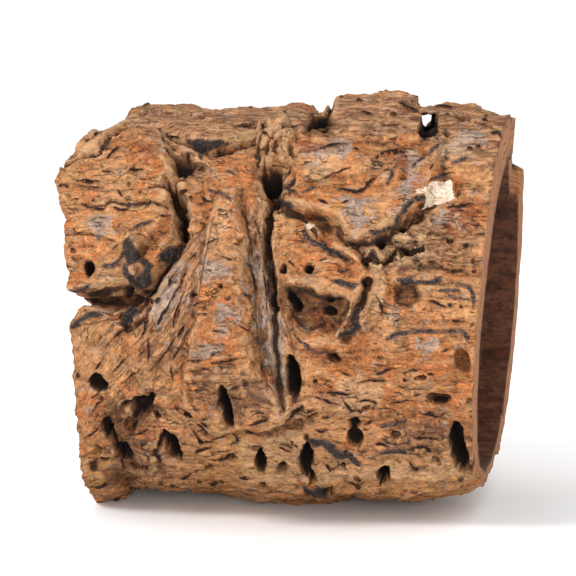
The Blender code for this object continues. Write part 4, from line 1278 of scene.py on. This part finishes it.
TAN = plain_colour(178, 127, 84)
ORANGE = plain_colour(172, 106, 60)
OCHRE = plain_colour(188, 136, 80)
UMBER = plain_colour(112, 74, 50)
DRIFT_BROWN = plain_colour(126, 87, 59)
DRIFT_PALE = plain_colour(170, 125, 88)
DRIFT_DARK = plain_colour(88, 55, 35)
LILAC_GREY = plain_colour(158, 137, 124)
RUST = plain_colour(146, 74, 40)
PALE_TAN = plain_colour(200, 160, 120)
CREAM = plain_colour(240, 222, 200)
CHARCOAL_AND_SHADOW = plain_colour(48, 38, 34)
ASH = plain_colour(106, 88, 78)
SMOKE = plain_colour(88, 70, 60)
BONE = plain_colour(216, 184, 142)
FRINGE_BROWN = plain_colour(112, 62, 38)
CRACK_BROWN = plain_colour(34, 19, 13)
HOLE_SHADE_BROWN = plain_colour(24, 14, 10)
BORE_BROWN = plain_colour(108, 68, 47)
BORE_DARK = plain_colour(70, 41, 28)
BORE_RED = plain_colour(104, 50, 34)
SAWN_TAN = plain_colour(196, 136, 92)
SAWN_LINE = plain_colour(150, 92, 58)
SHADOW_TINT = (0.42, 0.34, 0.27, 1.0)


def bark_colour(w, place, fibres):
    """The outer bark's colour: mottled ground, weathering, painted highlight on edges and painted shade in
    hollows, pits and holes, then charcoal marks, some of them painted shadow, and cracks darkened with
    painted shade.
    """
    marks, tones, forms, shades, tints = map(w.field, ("marks", "tones", "forms", "shades", "tints"))
    streak, hair, pore, blotch = fibres[:4]
    cloud = w.noise(place, 0.05, 4.0, 0.6)[0]
    mottle = w.noise(place, 0.17, 5.0, 0.7)[0]
    mottle_beside = w.noise(w.vector("ADD", place, (130.0, 70.0, 40.0)), 0.14, 5.0, 0.7)[0]
    fleck = w.noise(place, 0.5, 4.0, 0.75)[0]
    speck = w.noise(place, 1.25, 2.0, 0.6)[0]
    jitter = w.math("SUBTRACT", fleck, 0.5)
    orangeness = w.plus(cloud, tints[0], 0.14)
    colour = w.mix(w.smooth(orangeness, 0.46, 0.62), TAN, ORANGE)
    ochreness = w.plus(mottle_beside, tints[1], 0.16)
    colour = w.over(colour, ochreness, 0.54, 0.66, 0.85, OCHRE)
    colour = w.over(colour, mottle, 0.50, 0.60, 0.8, TAN)
    beyond = w.vector("ADD", place, (20.0, 160.0, 90.0))
    brownness = w.plus(w.math("MULTIPLY", tints[2], 0.10), blotch, 0.4)
    brownness = w.plus(brownness, w.noise(beyond, 0.22, 5.0, 0.7)[0], 0.6)
    colour = w.over(colour, brownness, 0.54, 0.62, 0.8, UMBER)
    smokiness = w.plus(w.noise(beyond, 0.31, 5.0, 0.72)[0], tints[2], 0.07)
    colour = w.over(colour, smokiness, 0.61, 0.67, 0.8, SMOKE)
    colour = w.over(colour, w.noise(beyond, 0.42, 4.0, 0.7)[0], 0.39, 0.33, 0.35, BONE)
    drift = w.mix(w.smooth(streak, 0.38, 0.60), DRIFT_BROWN, DRIFT_PALE)
    drift = w.mix(w.smooth(blotch, 0.46, 0.40, 0.0, 0.75), drift, DRIFT_DARK)
    colour = w.over(colour, w.math("ADD", shades[0], jitter), 0.35, 0.70, 0.85, drift)
    greyness = w.plus(mottle, tones[0], 0.22)
    colour = w.over(colour, greyness, 0.58, 0.68, 0.85, LILAC_GREY)
    rustiness = w.plus(mottle_beside, tones[1], 0.18)
    colour = w.over(colour, rustiness, 0.62, 0.72, 0.8, RUST)
    # Pale lumps; across the lower middle this is also painted light.
    paleness = w.plus(tones[2], w.math("SUBTRACT", mottle_beside, 0.5), 2.4)
    colour = w.over(colour, paleness, 0.4, 0.8, 0.5, PALE_TAN)
    light = w.math("ADD", w.smooth(fleck, 0.30, 0.70, 0.80, 1.16), w.smooth(streak, 0.32, 0.68, -0.34, 0.34))
    light = w.math("ADD", light, w.smooth(speck, 0.32, 0.68, -0.14, 0.14))
    light = w.math("ADD", light, w.smooth(mottle_beside, 0.36, 0.64, 0.22, -0.22))
    colour = w.mix(1.0, colour, light, "MULTIPLY")
    # Painted highlight on raised edges, partly edge wear; painted shade in broad hollows, and near-black
    # painted shade in small ones.
    colour = w.over(colour, forms[0], 0.55, 0.82, 0.6, PALE_TAN)
    colour = w.over(colour, forms[1], 0.46, 0.12, 0.8, SHADOW_TINT, "MULTIPLY")
    colour = w.over(colour, forms[0], 0.44, 0.12, 0.85, CRACK_BROWN)
    # Painted shade over the shaded hollows.
    colour = w.over(colour, w.math("ADD", shades[1], jitter), 0.35, 0.75, 0.85, SHADOW_TINT, "MULTIPLY")
    # Painted shade in the small pits.
    colour = w.over(colour, shades[2], 0.2, 0.8, 0.9, SHADOW_TINT, "MULTIPLY")
    colour = w.mix(w.math("MULTIPLY", pore, 0.65), colour, CRACK_BROWN)
    # Painted shade in the hair cracks.
    colour = w.mix(w.math("MULTIPLY", hair, 0.85), colour, CRACK_BROWN)
    creamy = w.plus(forms[2], jitter, 0.8)
    cream = w.mix(w.smooth(streak, 0.36, 0.5, 0.0, 0.5), PALE_TAN, CREAM)
    colour = w.over(colour, creamy, 0.46, 0.56, 1.0, w.mix(w.smooth(streak, 0.40, 0.52), cream, CREAM))
    waver = w.math("MULTIPLY", w.math("SUBTRACT", streak, 0.5), 0.5)
    darkness = w.math("ADD", w.plus(marks[0], jitter, 0.7), waver)
    colour = w.over(colour, darkness, 0.28, 0.48, 0.7, FRINGE_BROWN)
    # Charcoal; the veins under the shelf's edge, in the cave and under the beak are painted shadow.
    dark_share = w.smooth(darkness, 0.46, 0.54)
    ashen = w.math("ADD", w.noise(place, 0.9, 4.0, 0.75)[0], w.smooth(darkness, 0.52, 0.75, 0.10, -0.03))
    charcoal = w.mix(w.smooth(ashen, 0.50, 0.62), CHARCOAL_AND_SHADOW, ASH)
    colour = w.mix(dark_share, colour, charcoal)
    gape = w.plus(marks[1], jitter, 0.9)
    # Cracks: a brown fringe, then near-black painted shade in the crack.
    colour = w.over(colour, gape, 0.40, 0.64, 0.6, FRINGE_BROWN)
    colour = w.over(colour, gape, 0.65, 0.72, 0.97, CRACK_BROWN)
    # Painted shade in the worm holes, pits and cleft, near black where deepest.
    colour = w.over(colour, marks[2], 0.06, 0.32, 0.9, SHADOW_TINT, "MULTIPLY")
    colour = w.over(colour, marks[2], 0.30, 0.52, 0.97, HOLE_SHADE_BROWN)
    return colour, dark_share


def end_colour(w, place):
    """The ends' colour, sawn or broken: growth lines round the axis, freckled with dark pores."""
    centre = w.vector("MULTIPLY", w.vector("SUBTRACT", place, (0.0, 0.0, AXIS_HEIGHT)), (0.0, 1.0, 1.0))
    length = w.tree.nodes.new("ShaderNodeVectorMath")
    length.operation = "LENGTH"
    w.set(length.inputs[0], centre)
    growth = w.tree.nodes.new("ShaderNodeTexNoise")
    growth.noise_dimensions = "1D"
    sway = w.math("MULTIPLY", w.noise(place, 0.06, 2.0)[0], 9.0)
    w.set(growth.inputs["W"], w.math("ADD", length.outputs[1], sway))
    w.set(growth.inputs["Scale"], 0.9)
    colour = w.mix(w.smooth(growth.outputs[0], 0.42, 0.60), SAWN_TAN, SAWN_LINE)
    colour = w.over(colour, w.noise(place, 0.5, 3.0, 0.65)[0], 0.40, 0.32, 1.0, CRACK_BROWN)
    return w.over(colour, w.noise(place, 0.16, 4.0, 0.6)[0], 0.5, 0.7, 0.5, UMBER)


def bore_colour(w, place):
    """The bore's colour: two dark browns in long blotches, with reddish flecks and dark pores."""
    blotches = w.noise(w.vector("MULTIPLY", place, (0.45, 1.0, 1.0)), 0.2, 6.0, 0.72)[0]
    colour = w.mix(w.smooth(blotches, 0.40, 0.60), BORE_DARK, BORE_BROWN)
    flecks = w.noise(place, 0.34, 5.0, 0.7)[0]
    colour = w.over(colour, flecks, 0.54, 0.62, 0.7, BORE_RED)
    return w.over(colour, flecks, 0.42, 0.35, 0.8, CRACK_BROWN)


def cork_material():
    """Weathered cork: mottled tan and orange, grey and rusty patches, charcoal veins, some of them painted
    shadow, cracks darkened with painted shade, and painted shade and highlight over the relief.
    """
    material = bpy.data.materials.new("cork_bark")
    material.use_nodes = True
    tree = material.node_tree
    w = Wiring(tree)
    shader = tree.nodes["Principled BSDF"]
    where = tree.nodes.new("ShaderNodeTexCoord").outputs["Object"]
    place = w.vector("SCALE", where, scale=1.0 / MM)
    zones = w.field("zones")
    fibres = tree.nodes.new("ShaderNodeGroup")
    fibres.node_tree = fibre_group()
    w.set(fibres.inputs["Place"], place)
    w.set(fibres.inputs["Slant"], zones[0])
    w.set(fibres.inputs["Upright"], zones[1])
    colour, dark_share = bark_colour(w, place, fibres.outputs)
    colour = w.mix(w.smooth(zones[2], 0.15, 0.35), colour, end_colour(w, place))
    colour = w.mix(w.smooth(zones[2], 0.6, 0.9), colour, bore_colour(w, place))
    w.set(shader.inputs["Base Color"], colour)
    rough = w.smooth(fibres.outputs[0], 0.3, 0.7, 0.80, 0.95)
    w.set(shader.inputs["Roughness"], w.math("SUBTRACT", rough, w.math("MULTIPLY", dark_share, 0.2)))
    shader.inputs["Specular IOR Level"].default_value = 0.25
    bump = tree.nodes.new("ShaderNodeBump")
    bump.inputs["Strength"].default_value = BUMP_STRENGTH
    bump.inputs["Distance"].default_value = BUMP_DEPTH * MM
    w.set(bump.inputs["Height"], w.plus(fibres.outputs[4], w.noise(place, 2.4, 2.0)[0], 0.25))
    w.set(shader.inputs["Normal"], bump.outputs[0])
    return material


def floor_material():
    """A plain matt white."""
    material = bpy.data.materials.new("studio_white")
    material.use_nodes = True
    shader = material.node_tree.nodes["Principled BSDF"]
    shader.inputs["Base Color"].default_value = FLOOR_WHITE
    shader.inputs["Roughness"].default_value = 0.9
    return material


# Stage

def add_stage():
    """A pale floor, soft lights and a bright surround."""
    bpy.ops.mesh.primitive_plane_add(size=FLOOR_SIZE)
    floor = bpy.context.object
    floor.name = "studio_floor"
    floor.data.materials.append(floor_material())
    world = bpy.data.worlds.new("studio_surround")
    bpy.context.scene.world = world
    world.use_nodes = True
    world.node_tree.nodes["Background"].inputs["Color"].default_value = (1.0, 1.0, 1.0, 1.0)
    world.node_tree.nodes["Background"].inputs["Strength"].default_value = SURROUND_STRENGTH
    target = Vector(VIEW_TARGET) * MM
    for name, place, size, power in LIGHTS:
        data = bpy.data.lights.new(name, "AREA")
        data.size = size
        data.energy = power
        light = bpy.data.objects.new(name, data)
        light.location = place
        light.rotation_euler = (target - Vector(place)).to_track_quat("-Z", "Y").to_euler()
        bpy.context.scene.collection.objects.link(light)
    bpy.context.scene.view_settings.view_transform = "Standard"


def add_camera():
    """The camera at the viewer's place, its lens set by the view's scale."""
    back = Vector(view_axes()[2])
    data = bpy.data.cameras.new("view_camera")
    data.sensor_width = 36.0
    data.lens = data.sensor_width * VIEW_SCALE / VIEW_SIZE
    camera = bpy.data.objects.new("view_camera", data)
    camera.location = Vector(VIEW_TARGET) * MM + back * VIEW_DISTANCE * MM
    camera.rotation_euler = back.to_track_quat("Z", "Y").to_euler()
    bpy.context.scene.collection.objects.link(camera)
    bpy.context.scene.camera = camera


add_camera()
add_stage()
bark = cork_material()
outer_face, outer_fields = bark_face()
make_skin(outer_face, outer_fields, bark)
make_sliver(bark)
make_fibres(outer_face, bark)
